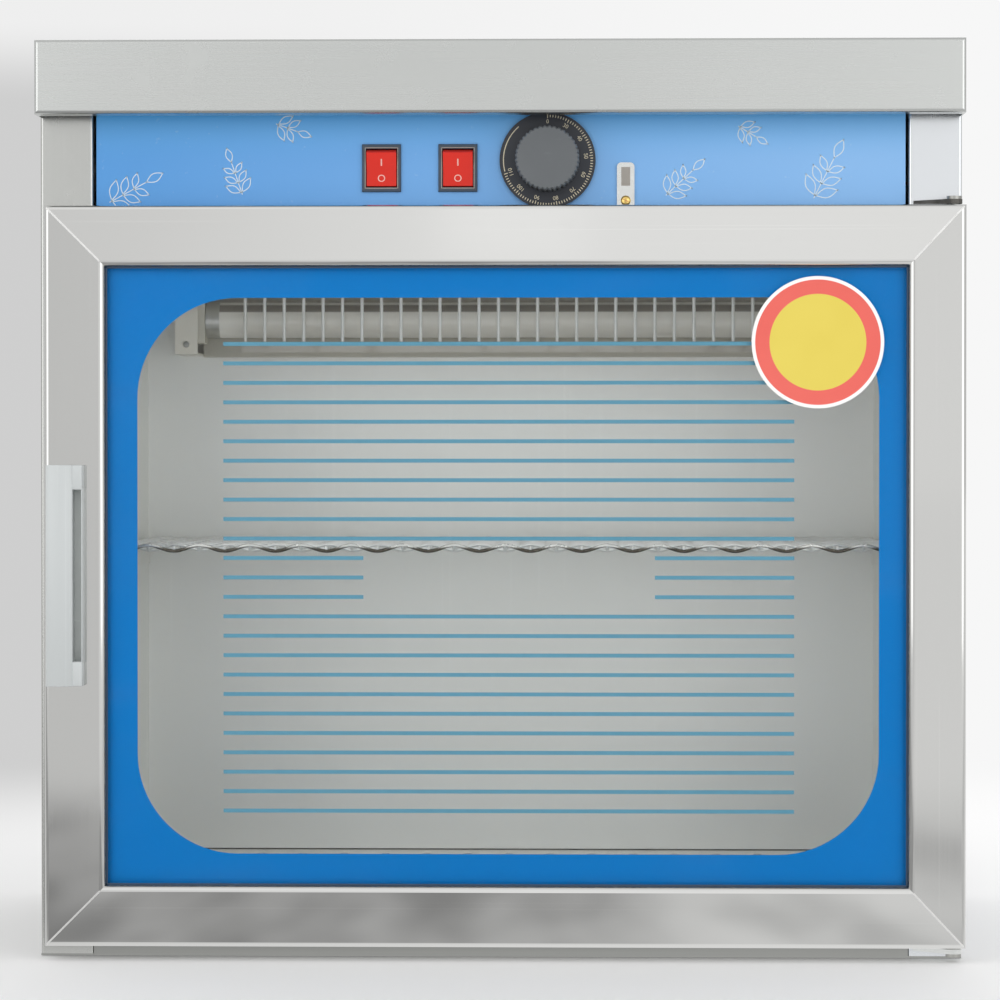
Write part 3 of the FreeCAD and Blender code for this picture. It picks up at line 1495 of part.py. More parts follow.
def door_switch_body():
    """Switch case behind the panel with a nose that shows in the bracket's window."""
    low = header_top + shell_sheet
    case = block(
        "switch_case", (door_switch_x - switch_case_width / 2, door_switch_x + switch_case_width / 2),
        (panel_back, panel_back + switch_case_depth), (low, low + switch_case_height))
    window_x, window_range = window_ranges()
    nose = block("switch_nose", window_x, (bracket_front, panel_back), window_range)
    bore = rod(
        "switch_bore", plunger_radius + running_gap, "y", (door_switch_x, panel_back - CUT_PAST, plunger_z),
        plunger_grip + plunger_travel + 2 * CUT_PAST)
    return cut("door_switch_body", fuse("switch_solid", case, nose), bore)


keep(door_switch_body(), "door_switch_body")

brass_head = rod(
    "brass_head", brass_screw_head, "y", (door_switch_x, bracket_front - brass_screw_proud, brass_screw_z),
    brass_screw_proud)
brass_shank = rod(
    "brass_shank", brass_screw_shank, "y", (door_switch_x, bracket_front, brass_screw_z),
    bracket_sheet + shell_sheet)
keep(fuse("bracket_screw", brass_head, brass_shank), "bracket_screw")

plunger_front = door_rear + plunger_tip_gap
keep(rod("door_switch_plunger", plunger_radius, "y", (door_switch_x, plunger_front, plunger_z),
         panel_back + plunger_grip - plunger_front), "door_switch_plunger")

# ---------------------------------------------------------------- hinges

def hinge_bracket(node, low, leg_low):
    """Arm that carries the pin in front of the post, and a leg inside the post."""
    arm = [
        (hinge_leg_left, front_y + shell_sheet),
        (hinge_leg_right, front_y + shell_sheet),
        (hinge_leg_right, hinge_y - hinge_head_radius / 2),
        (hinge_x + hinge_head_radius / 2, hinge_y - hinge_head_radius),
        (hinge_x - hinge_head_radius / 2, hinge_y - hinge_head_radius),
        (hinge_leg_left, front_y - shell_sheet),
    ]
    plate = folded(node + "_arm", "xy", arm, low, low + hinge_plate)
    leg = block(
        node + "_leg", (hinge_leg_left, hinge_leg_right),
        (front_y + shell_sheet, front_y + shell_sheet + hinge_leg_sheet), (leg_low, leg_low + hinge_leg))
    hole = rod(node + "_pin_hole", hinge_pin_radius, "z", (hinge_x, hinge_y, low - CUT_PAST),
               hinge_plate + 2 * CUT_PAST)
    return cut(node, fuse(node + "_solid", plate, leg), hole)


keep(hinge_bracket("hinge_bracket_top", top_plate_low, top_plate_low), "hinge_bracket_top")
keep(hinge_bracket("hinge_bracket_bottom", bottom_plate_low, bottom_plate_low), "hinge_bracket_bottom")


def hinge_pins():
    """Riveted pins; the lower one has the collar that the door rides on."""
    top_shank = rod(
        "top_pin_shank", hinge_pin_radius, "z", (hinge_x, hinge_y, door_top - hinge_pin_reach),
        hinge_pin_reach + hinge_plate_gap + hinge_plate)
    top_head = rod(
        "top_pin_head", hinge_head_radius, "z", (hinge_x, hinge_y, top_plate_low + hinge_plate),
        hinge_head_height)
    low_shank = rod(
        "low_pin_shank", hinge_pin_radius, "z", (hinge_x, hinge_y, bottom_plate_low),
        door_bottom - bottom_plate_low + hinge_pin_reach)
    low_collar = rod(
        "low_pin_collar", hinge_head_radius, "z", (hinge_x, hinge_y, bottom_plate_top), hinge_collar_height)
    low_head = rod(
        "low_pin_head", hinge_head_radius, "z", (hinge_x, hinge_y, bottom_plate_low - hinge_head_height),
        hinge_head_height)
    top_pin = fuse("top_pin", top_shank, top_head)
    low_pin = fuse("low_pin", low_shank, low_collar, low_head)
    return group("hinge_pins", top_pin, low_pin)


keep(hinge_pins(), "hinge_pins")


def hinge_blocks():
    """Nylon corner blocks inside the door that turn on the pins."""
    inner_right = door_right - door_sheet
    across = (inner_right - hinge_block_size, inner_right)
    deep = (door_front + door_sheet, door_rear - door_sheet)
    blocks = []
    for end, low in (("top", door_top - door_sheet - hinge_block_size), ("bottom", door_bottom + door_sheet)):
        solid = block("hinge_block_" + end + "_solid", across, deep, (low, low + hinge_block_size))
        bore = rod(
            "hinge_block_" + end + "_bore", hinge_pin_radius + running_gap, "z",
            (hinge_x, hinge_y, low - CUT_PAST), hinge_block_size + 2 * CUT_PAST)
        blocks.append(cut("hinge_block_" + end, solid, bore))
    return group("hinge_blocks", *blocks)


keep(hinge_blocks(), "hinge_blocks")

# ---------------------------------------------------------------- door

door_rect = (door_left, door_right, door_bottom, door_top)
open_rect = (open_left, open_right, open_bottom, open_top)


def door_frame_ring():
    """The whole folded front frame, before it is mitred into four members."""
    body = folded("door_frame_block", "xz", rectangle(*door_rect), door_front, door_rear)
    middle_x, middle_z = (door_left + door_right) / 2, (door_bottom + door_top) / 2
    open_middle_x = (open_left + open_right) / 2
    round_edges(
        body, "door_edge_bends", door_edge_bend,
        ("z", {"x": door_left, "y": door_front}), ("z", {"x": door_right, "y": door_front}),
        ("x", {"z": door_bottom, "y": door_front, "x": middle_x}),
        ("x", {"z": door_top, "y": door_front, "x": middle_x}))
    pocket(body, "door_frame_opening", "xz", rectangle(*open_rect), door_front, door_rear)
    round_edges(
        body, "door_inner_bends", door_inner_bend,
        ("z", {"x": open_left, "y": door_front, "z": middle_z}),
        ("z", {"x": open_right, "y": door_front, "z": middle_z}),
        ("x", {"z": open_bottom, "y": door_front, "x": open_middle_x}),
        ("x", {"z": open_top, "y": door_front, "x": open_middle_x}))
    hollow = ring(
        "door_hollow", grown(-door_sheet, *door_rect), grown(door_sheet, *open_rect),
        (door_front + door_sheet, door_rear + CUT_PAST))
    rebate_rect = grown(glass_lap + rebate_gap, *open_rect)
    rebate = block("glass_rebate", rebate_rect[0:2], (glass_front, door_rear + CUT_PAST), rebate_rect[2:4])
    pin_holes = [
        rod("door_pin_hole_" + end, hinge_pin_radius + pin_hole_gap, "z",
            (hinge_x, hinge_y, level - door_sheet - CUT_PAST), 2 * door_sheet + 2 * CUT_PAST)
        for end, level in (("top", door_top), ("bottom", door_bottom))]
    return cut("door_frame_shell", body, hollow, rebate, *pin_holes)


def mitre(name, corners):
    """A wedge that takes one member out of the mitred frame."""
    return folded(name, "xz", corners, door_front - CUT_PAST, door_rear + CUT_PAST)


frame_shell = door_frame_ring()
out_left, out_right, out_bottom, out_top = grown(CUT_PAST, *door_rect)
in_left, in_right, in_bottom, in_top = grown(-CUT_PAST, *open_rect)
outer_corners = [(out_left, out_bottom), (out_left, out_top), (out_right, out_top), (out_right, out_bottom)]
inner_corners = [(in_left, in_bottom), (in_left, in_top), (in_right, in_top), (in_right, in_bottom)]
MEMBERS = {}
for side, node in enumerate(("door_stile_left", "door_rail_top", "door_stile_right", "door_rail_bottom")):
    following = (side + 1) % len(outer_corners)
    MEMBERS[node] = [
        outer_corners[side], outer_corners[following], inner_corners[following], inner_corners[side]]
for node, corners in MEMBERS.items():
    keep(common(node, frame_shell, mitre(node + "_wedge", corners)), node)

seal_rear = glass_rear + seal_thickness
back_plate = ring(
    "back_plate", grown(-door_sheet, *door_rect), open_rect, (door_rear - door_sheet, door_rear))
back_wall = ring("back_wall", grown(door_sheet, *open_rect), open_rect, (seal_rear, door_rear))
back_foot = ring("back_foot", grown(glass_lap, *open_rect), open_rect, (seal_rear, seal_rear + door_sheet))
keep(fuse("door_back_frame", back_plate, back_wall, back_foot), "door_back_frame")

glass_rect = grown(glass_lap, *open_rect)
keep(block("door_glass", glass_rect[0:2], (glass_front, glass_rear), glass_rect[2:4]), "door_glass")
keep(ring("glass_seal", glass_rect, grown(film_lap, *open_rect), (glass_rear, seal_rear)), "glass_seal")


def border_print():
    """Printed border behind the glass, with a large-cornered clear window."""
    sheet_rect = grown(film_lap, *open_rect)
    film = (glass_rear, glass_rear + film_thickness)
    field = block("border_field", sheet_rect[0:2], film, sheet_rect[2:4])
    clear = (open_left + border_width, open_right - border_hinge_width,
             open_bottom + border_width, open_top - border_width)
    through = (film[0] - CUT_PAST, film[1] + CUT_PAST)
    window = folded("border_window", "xz", rectangle(*clear), *through)
    corners = [("y", {"x": x, "z": z}) for x in clear[0:2] for z in clear[2:4]]
    round_edges(window, "border_window_corners", border_corner, *corners)
    return cut("glass_border_print", field, window)


keep(border_print(), "glass_border_print")


def stripe_print():
    """Level stripes behind the glass; the middle ones are broken by a bare field."""
    film = (glass_rear, glass_rear + film_thickness)
    first_break = int(float(break_first))
    broken = range(first_break, first_break + int(float(break_count)))
    gaps = int(float(stripe_count)) - 1
    first, last = open_top - stripe_drop, open_bottom + stripe_rise
    left, right = open_left + stripe_left_inset, open_right - stripe_right_inset
    bars = []
    for index in range(gaps + 1):
        level = first - (first - last) * index / gaps
        across = (level - stripe_thickness / 2, level + stripe_thickness / 2)
        spans = [(left, right)]
        if index in broken:
            spans = [(left, left + break_left_inset), (right - break_right_inset, right)]
        for part, span in enumerate(spans):
            bars.append(block("stripe_{}_{}".format(index, part), span, film, across))
    return group("glass_stripe_print", *bars)


keep(stripe_print(), "glass_stripe_print")
keep(rod("round_label", label_radius, "y", (label_x, glass_front - film_thickness, open_top - label_drop),
         film_thickness), "round_label")

gasket_rect = grown(-gasket_inset, *door_rect)
keep(ring("door_gasket", gasket_rect, grown(-gasket_width, *gasket_rect),
          (door_rear, door_rear + gasket_thickness)), "door_gasket")


def door_handle():
    """Convex pull with a finger notch that runs in under the grip."""
    left = door_left + handle_left
    right = left + handle_width
    front = door_front - handle_proud
    low = door_bottom + handle_bottom
    high = low + handle_height
    body = folded("handle_block", "xy", rectangle(left, right, front, door_front), low, high)
    round_edges(
        body, "handle_round_left", handle_round, ("z", {"x": left, "y": front}))
    notch_low = low + (handle_height - notch_height) / 2
    notch = block(
        "handle_notch", (left + notch_left, left + notch_left + notch_width),
        (front - CUT_PAST, door_front - notch_floor), (notch_low, notch_low + notch_height))
    undercut = block(
        "handle_undercut", (left + notch_left - notch_undercut, left + notch_left + notch_width),
        (front + grip_thickness, door_front - notch_floor), (notch_low, notch_low + notch_height))
    return cut("door_handle", body, notch, undercut)


keep(door_handle(), "door_handle")

# ---------------------------------------------------------------- wire shelf

shelf_low = shelf_seat + shelf_lift_gap
shelf_middle = shelf_low + shelf_rim / 2
shelf_half = chamber_x - shelf_side_gap
shelf_front = front_y + shelf_front_inset
shelf_rear = chamber_back - shelf_rear_gap


def shelf_frame():
    """Two side rods and a rear rod, one bent bar."""
    radius = float(shelf_rim) / 2
    side = float(shelf_half) - radius
    rear = float(shelf_rear) - radius
    front = float(shelf_front)
    level = float(shelf_middle)
    path = [(-side, front, level), (-side, rear, level), (side, rear, level), (side, front, level)]
    return shaped("shelf_frame", bent_rod(path, float(shelf_bend), radius))


keep(shelf_frame(), "shelf_frame")


def shelf_wires():
    """Cross wires below and lengthwise wires on them, ended on the frame."""
    inner_half = shelf_half - shelf_rim
    inner_rear = shelf_rear - shelf_rim
    wire = shelf_wire / 2
    wires = []
    rows = int((float(inner_rear) - float(shelf_front)) // float(shelf_pitch))
    for row in range(rows + 1):
        start = (-inner_half, shelf_front + wire + row * shelf_pitch, shelf_low + wire)
        wires.append(rod("cross_wire_{}".format(row), wire, "x", start, 2 * inner_half))
    columns = int((2 * float(inner_half)) // float(shelf_pitch))
    for column in range(columns + 1):
        x = (column - columns / 2) * shelf_pitch
        start = (x, shelf_front, shelf_low + 3 * wire)
        wires.append(rod("long_wire_{}".format(column), wire, "y", start, inner_rear - shelf_front))
    return group("shelf_wires", *wires)


keep(shelf_wires(), "shelf_wires")

# ---------------------------------------------------------------- check and write

doc.recompute()
for thing in doc.Objects:
    if "Invalid" in thing.State or "Error" in thing.State:
        raise ValueError("{} failed: {}".format(thing.Name, thing.State))
names = [thing.Label for thing in PARTS]
if len(set(names)) != len(names) or len(names) > 60:
    raise ValueError("node names repeat or are too many")
for thing in PARTS:
    if thing.Shape.isNull() or not thing.Shape.isValid():
        raise ValueError(thing.Label + " has no valid shape")

os.makedirs("parts", exist_ok=True)
for thing in PARTS:
    thing.Shape.exportStep(os.path.join("parts", thing.Label + ".step"))
print(len(PARTS), "sub-parts written")
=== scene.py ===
import math

import bmesh
import bpy
from mathutils import Matrix, Vector
from mathutils.bvhtree import BVHTree


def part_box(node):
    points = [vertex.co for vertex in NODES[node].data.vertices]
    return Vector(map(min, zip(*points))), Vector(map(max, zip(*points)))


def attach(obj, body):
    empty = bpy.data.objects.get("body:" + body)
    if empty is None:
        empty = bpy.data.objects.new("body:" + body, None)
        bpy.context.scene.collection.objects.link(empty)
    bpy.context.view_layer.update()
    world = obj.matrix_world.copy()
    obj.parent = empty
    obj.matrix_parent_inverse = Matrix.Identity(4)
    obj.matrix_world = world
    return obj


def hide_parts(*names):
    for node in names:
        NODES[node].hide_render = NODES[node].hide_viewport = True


# Stainless sterilizer cabinet for chopsticks. Metres; X to the right, Y to the rear,
# Z up, from the middle of the underside.

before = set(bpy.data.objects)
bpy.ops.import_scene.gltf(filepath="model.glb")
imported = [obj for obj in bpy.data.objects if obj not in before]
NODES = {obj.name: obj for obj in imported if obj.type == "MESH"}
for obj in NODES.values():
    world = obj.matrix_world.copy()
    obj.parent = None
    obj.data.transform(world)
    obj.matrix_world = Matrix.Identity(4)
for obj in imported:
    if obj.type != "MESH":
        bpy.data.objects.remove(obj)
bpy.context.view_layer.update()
MM = 0.001
MICRON = 0.000001

# faces that small pieces sit on, along Y
PANEL_FACE = -0.173
BRACKET_FACE = -0.1745
DOOR_FACE = -0.2015
REAR_FACE = 0.175

# sight of the door's opening: left and right, bottom and top
OPENING = ((-0.2545, 0.2634), (0.0487, 0.4488))

BLACK, WHITE = (0.0, 0.0, 0.0, 1), (1.0, 1.0, 1.0, 1)


# ---------------------------------------------------------------- shader maths

class Signal:
    """One socket of a finish, used like a number."""

    def __init__(self, finish, socket):
        self.finish = finish
        self.socket = socket

    def math(self, operation, first, second):
        return self.finish.node("ShaderNodeMath", {"operation": operation}, {0: first, 1: second})

    def __add__(self, other):
        return self.math("ADD", self, other)

    def __radd__(self, other):
        return self.math("ADD", other, self)

    def __sub__(self, other):
        return self.math("SUBTRACT", self, other)

    def __rsub__(self, other):
        return self.math("SUBTRACT", other, self)

    def __mul__(self, other):
        return self.math("MULTIPLY", self, other)

    def __rmul__(self, other):
        return self.math("MULTIPLY", other, self)

    def __truediv__(self, other):
        return self.math("DIVIDE", self, other)

    def __rtruediv__(self, other):
        return self.math("DIVIDE", other, self)

    def __neg__(self):
        return self.math("SUBTRACT", 0.0, self)

    def either(self, other):
        return self.math("MAXIMUM", self, other)

    def size(self):
        return self.math("ABSOLUTE", self, 0.0)

    def rise(self, low, high):
        """0 below low, 1 above high, smooth between."""
        return self.finish.node(
            "ShaderNodeMapRange", {"interpolation_type": "SMOOTHSTEP"}, {0: self, 1: low, 2: high})

    def near(self, place, half, soft):
        """1 within half of a place, falling to 0 over soft."""
        return 1.0 - (self - place).size().rise(half, half + soft)


def ink(red, green, blue):
    """Linear colour of an 8-bit display colour."""
    def linear(level):
        level = level / 255
        return level / 12.92 if level <= 0.04045 else ((level + 0.055) / 1.055) ** 2.4
    return (linear(red), linear(green), linear(blue), 1.0)


def shaded(colour, times):
    return tuple(min(1.0, channel * times) for channel in colour[:3]) + (1.0,)


class Finish:
    """A node material, or the world's nodes, and what they are built from."""

    def __init__(self, name, holder=None):
        self.holder = holder or bpy.data.materials.new(name)
        self.holder.use_nodes = True
        self.tree = self.holder.node_tree
        self.tree.nodes.clear()

    def node(self, kind, settings=None, values=None, output=0):
        made = self.tree.nodes.new(kind)
        for key, value in (settings or {}).items():
            setattr(made, key, value)
        for key, value in (values or {}).items():
            if isinstance(value, Signal):
                self.tree.links.new(value.socket, made.inputs[key])
            else:
                made.inputs[key].default_value = value
        return Signal(self, made.outputs[output] if made.outputs else None)

    def place(self):
        return self.node("ShaderNodeTexCoord", output="Object")

    def axes(self, vector):
        return [self.node("ShaderNodeSeparateXYZ", values={0: vector}, output=axis) for axis in range(3)]

    def scaled(self, vector, scale, turn=(0, 0, 0)):
        return self.node("ShaderNodeMapping", values={"Vector": vector, "Scale": scale, "Rotation": turn})

    def noise(self, vector, scale, detail=3.0, roughness=0.5):
        return self.node(
            "ShaderNodeTexNoise",
            values={"Vector": vector, "Scale": scale, "Detail": detail, "Roughness": roughness})

    def blend(self, factor, low, high):
        return self.node("ShaderNodeMix", {"data_type": "RGBA"}, {0: factor, 6: low, 7: high}, output=2)

    def grey(self, level):
        return self.blend(level, BLACK, WHITE)

    def veil(self, factor, under, over):
        """One shader over another, by a factor."""
        return self.node("ShaderNodeMixShader", values={0: factor, 1: under, 2: over})

    def apart(self, first, second):
        """The vector from second to first."""
        return self.node("ShaderNodeVectorMath", {"operation": "SUBTRACT"}, {0: first, 1: second})

    def length(self, vector):
        return self.node("ShaderNodeVectorMath", {"operation": "LENGTH"}, {0: vector}, output="Value")

    def bump(self, height, depth, strength=1.0):
        return self.node(
            "ShaderNodeBump", values={"Strength": strength, "Distance": depth, "Height": height})

    def surface(self, colour, roughness, bump=None, **fixed):
        """A Principled shader; fixed holds its constant sockets, underscores for spaces."""
        values = {"Base Color": colour, "Roughness": roughness}
        if bump:
            values["Normal"] = bump
        for key, value in fixed.items():
            values[key.replace("_", " ").title().replace("Ior", "IOR")] = value
        return self.node("ShaderNodeBsdfPrincipled", values=values)

    def close(self, shader):
        self.node("ShaderNodeOutputMaterial", values={"Surface": shader})
        return self.holder


# ---------------------------------------------------------------- finishes

# scales of the rolled grain: long along one axis, fine across it
ALONG_X, ALONG_Z = (5, 1700, 1700), (1700, 1700, 5)
GRAIN_DEPTH = 0.6 * MICRON


def sheet_steel(
        name, colour, roughness, grain, streaks=0.05, waviness=40 * MICRON, fingerprints=0.05, metal=1.0):
    """Stainless sheet: rolled grain, slow clouds, faint fingerprints and a slight ripple."""
    steel = Finish(name)
    at = steel.place()
    line = steel.noise(steel.scaled(at, grain), 1.0, 2.0)
    scratch = steel.noise(steel.scaled(at, tuple(side / 3 for side in grain)), 1.0, 1.0).rise(0.66, 0.74)
    cloud = steel.noise(at, 4.5, 2.0)
    smear = steel.noise(at, 34.0, 4.0, 0.6).rise(0.56, 0.74)
    ripple = steel.noise(at, 9.0, 1.0)
    tone = cloud * 0.75 + line * 0.25
    plain = steel.blend(tone, shaded(colour, 1 - streaks), shaded(colour, 1 + streaks))
    worn = steel.blend(scratch * 0.25, plain, shaded(colour, 1.12))
    rough = (roughness - 0.05) + cloud * 0.05 + line * 0.05 + smear * fingerprints
    height = ripple * waviness + line * GRAIN_DEPTH
    return steel.close(steel.surface(worn, rough, steel.bump(height, 1.0), metallic=metal))


def galvanised(name, colour):
    """Zinc-coated sheet with fine spangles and a trace of rust."""
    zinc = Finish(name)
    at = zinc.place()
    spangle = zinc.node("ShaderNodeTexVoronoi", {}, {"Vector": at, "Scale": 130.0}, output="Color")
    tilt = zinc.axes(spangle)[0]
    cloud = zinc.noise(at, 6.0)
    rust = zinc.noise(at, 40.0, 5.0).rise(0.68, 0.8)
    tone = zinc.blend(tilt * 0.6 + cloud * 0.4, shaded(colour, 0.9), shaded(colour, 1.08))
    rough = 0.34 + tilt * 0.16 + rust * 0.2
    return zinc.close(zinc.surface(
        zinc.blend(rust * 0.25, tone, ink(150, 140, 126)), rough, zinc.bump(tilt, 20 * MICRON), metallic=1.0))


def plated(name, colour, roughness, tarnish, grain=260.0, metal=1.0, depth=30 * MICRON):
    """Small metal pieces: fine pitting, tarnish gathered in patches, brighter rubs."""
    coat = Finish(name)
    at = coat.place()
    pit = coat.noise(at, grain, 3.0)
    patch = coat.noise(at, 45.0, 4.0).rise(0.5, 0.72)
    rub = coat.noise(at, 110.0, 2.0).rise(0.58, 0.7)
    tone = coat.blend(patch * 0.6, colour, tarnish)
    tone = coat.blend(rub * 0.35, tone, shaded(colour, 1.15))
    rough = roughness + patch * 0.14 + pit * 0.08
    return coat.close(coat.surface(tone, rough, coat.bump(pit, depth), metallic=metal))


def moulded(name, colour, roughness, grain=900.0, depth=30 * MICRON, scuff=1.35, **fixed):
    """Moulded plastic or rubber: spark-eroded grain, clouding and pale scuffs."""
    plastic = Finish(name)
    at = plastic.place()
    pore = plastic.noise(at, grain, 2.0)
    cloud = plastic.noise(at, 30.0, 3.0)
    rub = plastic.noise(plastic.scaled(at, (1, 1, 3)), 120.0, 4.0).rise(0.62, 0.78)
    tone = plastic.blend(cloud, shaded(colour, 0.9), shaded(colour, 1.08))
    tone = plastic.blend(rub * 0.4, tone, shaded(colour, scuff))
    rough = roughness - 0.06 + cloud * 0.08 + rub * 0.12
    return plastic.close(plastic.surface(tone, rough, plastic.bump(pore, depth), **fixed))


def enamelled(name, colour, roughness, dirt):
    """Stoved enamel with orange peel and grime in patches."""
    paint = Finish(name)
    at = paint.place()
    peel = paint.noise(at, 420.0, 1.0)
    cloud = paint.noise(at, 14.0, 3.0)
    grime = paint.noise(at, 60.0, 5.0, 0.6).rise(0.58, 0.8)
    tone = paint.blend(cloud, shaded(colour, 0.95), shaded(colour, 1.05))
    tone = paint.blend(grime * 0.35, tone, dirt)
    return paint.close(paint.surface(
        tone, roughness + grime * 0.15 + cloud * 0.04, paint.bump(peel, 40 * MICRON), coat_weight=0.2,
        coat_roughness=0.2))


def panel_print():
    """Blue print that pales from left to right, lacquered; towards its upper edge it is painted brighter and
    deeper blue, painted light against the shade under the cap.
    """
    half_way = 0.53
    panel = Finish("panel blue")
    at = panel.place()
    across, _, up = panel.axes(at)
    peel = panel.noise(at, 500.0, 1.0)
    cloud = panel.noise(at, 11.0, 3.0)
    wash = panel.noise(panel.scaled(at, (4, 4, 14)), 1.0, 2.0)
    dust = panel.noise(at, 240.0, 2.0).rise(0.7, 0.8)
    fade = (across + (up - half_way) * 0.5 + (wash - 0.5) * 0.14).rise(-0.42, 0.36)
    tone = panel.blend(fade, ink(66, 150, 222), ink(146, 196, 246))
    # painted light: towards the top the blue is painted brighter and deeper, against the shade under the cap
    tone = panel.blend(up.rise(0.515, 0.565) * 0.8, tone, ink(84, 188, 255))
    tone = panel.blend(cloud * 0.3, tone, ink(104, 172, 234))
    tone = panel.blend(dust * 0.2, tone, ink(200, 224, 246))
    return panel.close(panel.surface(
        tone, 0.34 + cloud * 0.06 + dust * 0.2, panel.bump(peel, 20 * MICRON), coat_weight=0.25,
        coat_roughness=0.15))


def screen_ink(name, colour, opacity=1.0, gloss=0.08):
    """Screen-printed ink: fine mesh marks and a slight unevenness."""
    film = Finish(name)
    at = film.place()
    cloud = film.noise(at, 9.0, 3.0)
    weave = film.noise(at, 1500.0, 1.0)
    pinhole = film.noise(at, 700.0, 1.0).rise(0.74, 0.8)
    tone = film.blend(cloud * 0.6 + weave * 0.4, shaded(colour, 0.94), shaded(colour, 1.06))
    tone = film.blend(pinhole * 0.3, tone, shaded(colour, 1.5))
    values = {"specular_ior_level": gloss}
    if opacity < 1.0:
        values["alpha"] = opacity - weave * 0.12
    return film.close(film.surface(tone, 0.42 + weave * 0.1, film.bump(weave, 4 * MICRON), **values))


def bent_wire():
    """Painted highlight along the upper side of the wires and painted shade in the dips where the wires
    cross, with light random grime.
    """
    coat = Finish("crimped wire")
    at = coat.place()
    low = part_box("shelf_wires")[0].z
    # painted light: by height, the wire is painted near-white at its top and dark lower down, a painted
    # highlight and painted shade
    crest = coat.axes(at)[2].rise(low + 2.6 * MM, low + 4.6 * MM)
    grime = coat.noise(at, 160.0, 3.0)
    tone = coat.blend(crest, ink(84, 78, 70), ink(255, 254, 251))
    tone = coat.blend(grime * 0.2, tone, ink(170, 160, 140))
    return coat.close(coat.surface(tone, 0.2 + grime * 0.12, metallic=0.55))


def window_glass():
    """Clear float glass: a pale tint, mirror gloss by angle, faint wiping marks."""
    pane = Finish("door pane")
    at = pane.place()
    wipe = pane.noise(pane.scaled(at, (7, 7, 30), (0, 0.5, 0)), 1.0, 4.0, 0.6).rise(0.5, 0.75)
    spot = pane.noise(at, 160.0, 2.0).rise(0.76, 0.82)
    clear = pane.node("ShaderNodeBsdfTransparent", values={0: (0.985, 0.992, 0.99, 1)})
    gloss = pane.surface((0.95, 0.96, 0.96, 1), 0.03 + wipe * 0.02, metallic=1.0)
    haze = pane.surface((0.8, 0.8, 0.78, 1), 0.7)
    angle = pane.node("ShaderNodeFresnel", values={"IOR": 1.33})
    marked = pane.veil(wipe * 0.006 + spot * 0.03, clear, haze)
    return pane.close(pane.veil((angle - 0.016) * 0.9, marked, gloss))


def quartz():
    """Milky lamp tube, darker at its ends, with a brown band of painted shadow from the ceiling along its
    upper half.
    """
    shadow_from, shadow_to, fading = 0.4298, 0.4364, 1.4 * MM
    tube = Finish("quartz tube")
    at = tube.place()
    across, _, height = tube.axes(at)
    swirl = tube.noise(at, 30.0, 2.0)
    clear = tube.node("ShaderNodeBsdfTransparent", values={0: (0.93, 0.95, 0.95, 1)})
    gloss = tube.surface((0.95, 0.96, 0.97, 1), 0.04 + swirl * 0.03, metallic=1.0)
    # painted shadow: a brown band along the tube's upper half
    streak = height.rise(shadow_from, shadow_from + fading) * (1.0 - height.rise(shadow_to - fading, shadow_to))
    cloud = tube.surface(tube.blend(streak * 0.8, ink(250, 246, 238), ink(118, 108, 98)), 0.35)
    burnt = across.size().rise(0.17, 0.21) * 0.02 + swirl * 0.06 + 0.92
    facing = tube.node("ShaderNodeLayerWeight", values={"Blend": 0.35}, output="Fresnel")
    return tube.close(tube.veil(facing * 0.25, tube.veil(burnt, clear, cloud), gloss))


def ringed_label():
    """Plain round label: a yellow disc, a red ring and a white rim, with a fine printed grain."""
    yellow_radius, red_radius = 30.9 * MM, 40.2 * MM
    label = Finish("round label")
    at = label.place()
    low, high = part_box("round_label")
    spread = label.length(label.apart(at, (low + high) / 2))
    grain = label.noise(at, 1100.0, 1.0)
    cloud = label.noise(at, 24.0, 2.0)
    red = label.blend(cloud, ink(228, 88, 78), ink(236, 104, 92))
    yellow = label.blend(cloud, ink(220, 198, 70), ink(230, 210, 88))
    tone = label.blend(spread.rise(yellow_radius, yellow_radius + 0.4 * MM), yellow, red)
    tone = label.blend(spread.rise(red_radius, red_radius + 0.3 * MM), tone, ink(248, 246, 244))
    return label.close(label.surface(
        tone, 0.3 + grain * 0.08, label.bump(grain, 6 * MICRON), coat_weight=0.3, coat_roughness=0.12))


steel_x = sheet_steel("shell steel, grain across", ink(206, 208, 206), 0.27, ALONG_X, fingerprints=0.03)
# the side panels are one steel in two copies: the left one painted a little darker, painted shade, the right
# one painted lighter, a painted highlight
steel_z_shaded = sheet_steel("shell steel, grain upright", ink(196, 197, 194), 0.25, ALONG_Z, fingerprints=0.04)
steel_z_lit = sheet_steel(
    "hinge side steel, grain upright", ink(224, 227, 230), 0.25, ALONG_Z, fingerprints=0.04)
# the base is painted darker than the shell, painted shade for the strip under the door
base_steel_shaded = sheet_steel("base steel, grain across", ink(160, 161, 158), 0.3, ALONG_X, fingerprints=0.06)
polished_x = sheet_steel(
    "door steel, grain across", ink(228, 228, 226), 0.065, ALONG_X, streaks=0.03, waviness=50 * MICRON,
    fingerprints=0.04)
polished_z = sheet_steel(
    "door steel, grain upright", ink(215, 215, 213), 0.07, ALONG_Z, streaks=0.03, waviness=50 * MICRON,
    fingerprints=0.04)
liner_steel = sheet_steel(
    "chamber steel", ink(240, 240, 237), 0.38, ALONG_Z, streaks=0.04, waviness=20 * MICRON, metal=0.45)
floor_steel = sheet_steel(
    "chamber floor steel", ink(236, 235, 231), 0.36, ALONG_X, waviness=30 * MICRON, metal=0.45)
weld_steel = plated("weld steel", ink(232, 232, 230), 0.4, ink(214, 213, 208))
recess_grey = moulded("handle recess", ink(212, 216, 214), 0.5, grain=600.0)
rear_zinc = galvanised("rear zinc", ink(196, 199, 199))
zinc_pieces = plated("zinc plate", ink(172, 172, 168), 0.32, ink(120, 116, 106))
guard_strip = plated("guard strip", ink(198, 193, 184), 0.34, ink(146, 138, 124), grain=300.0, metal=0.3)
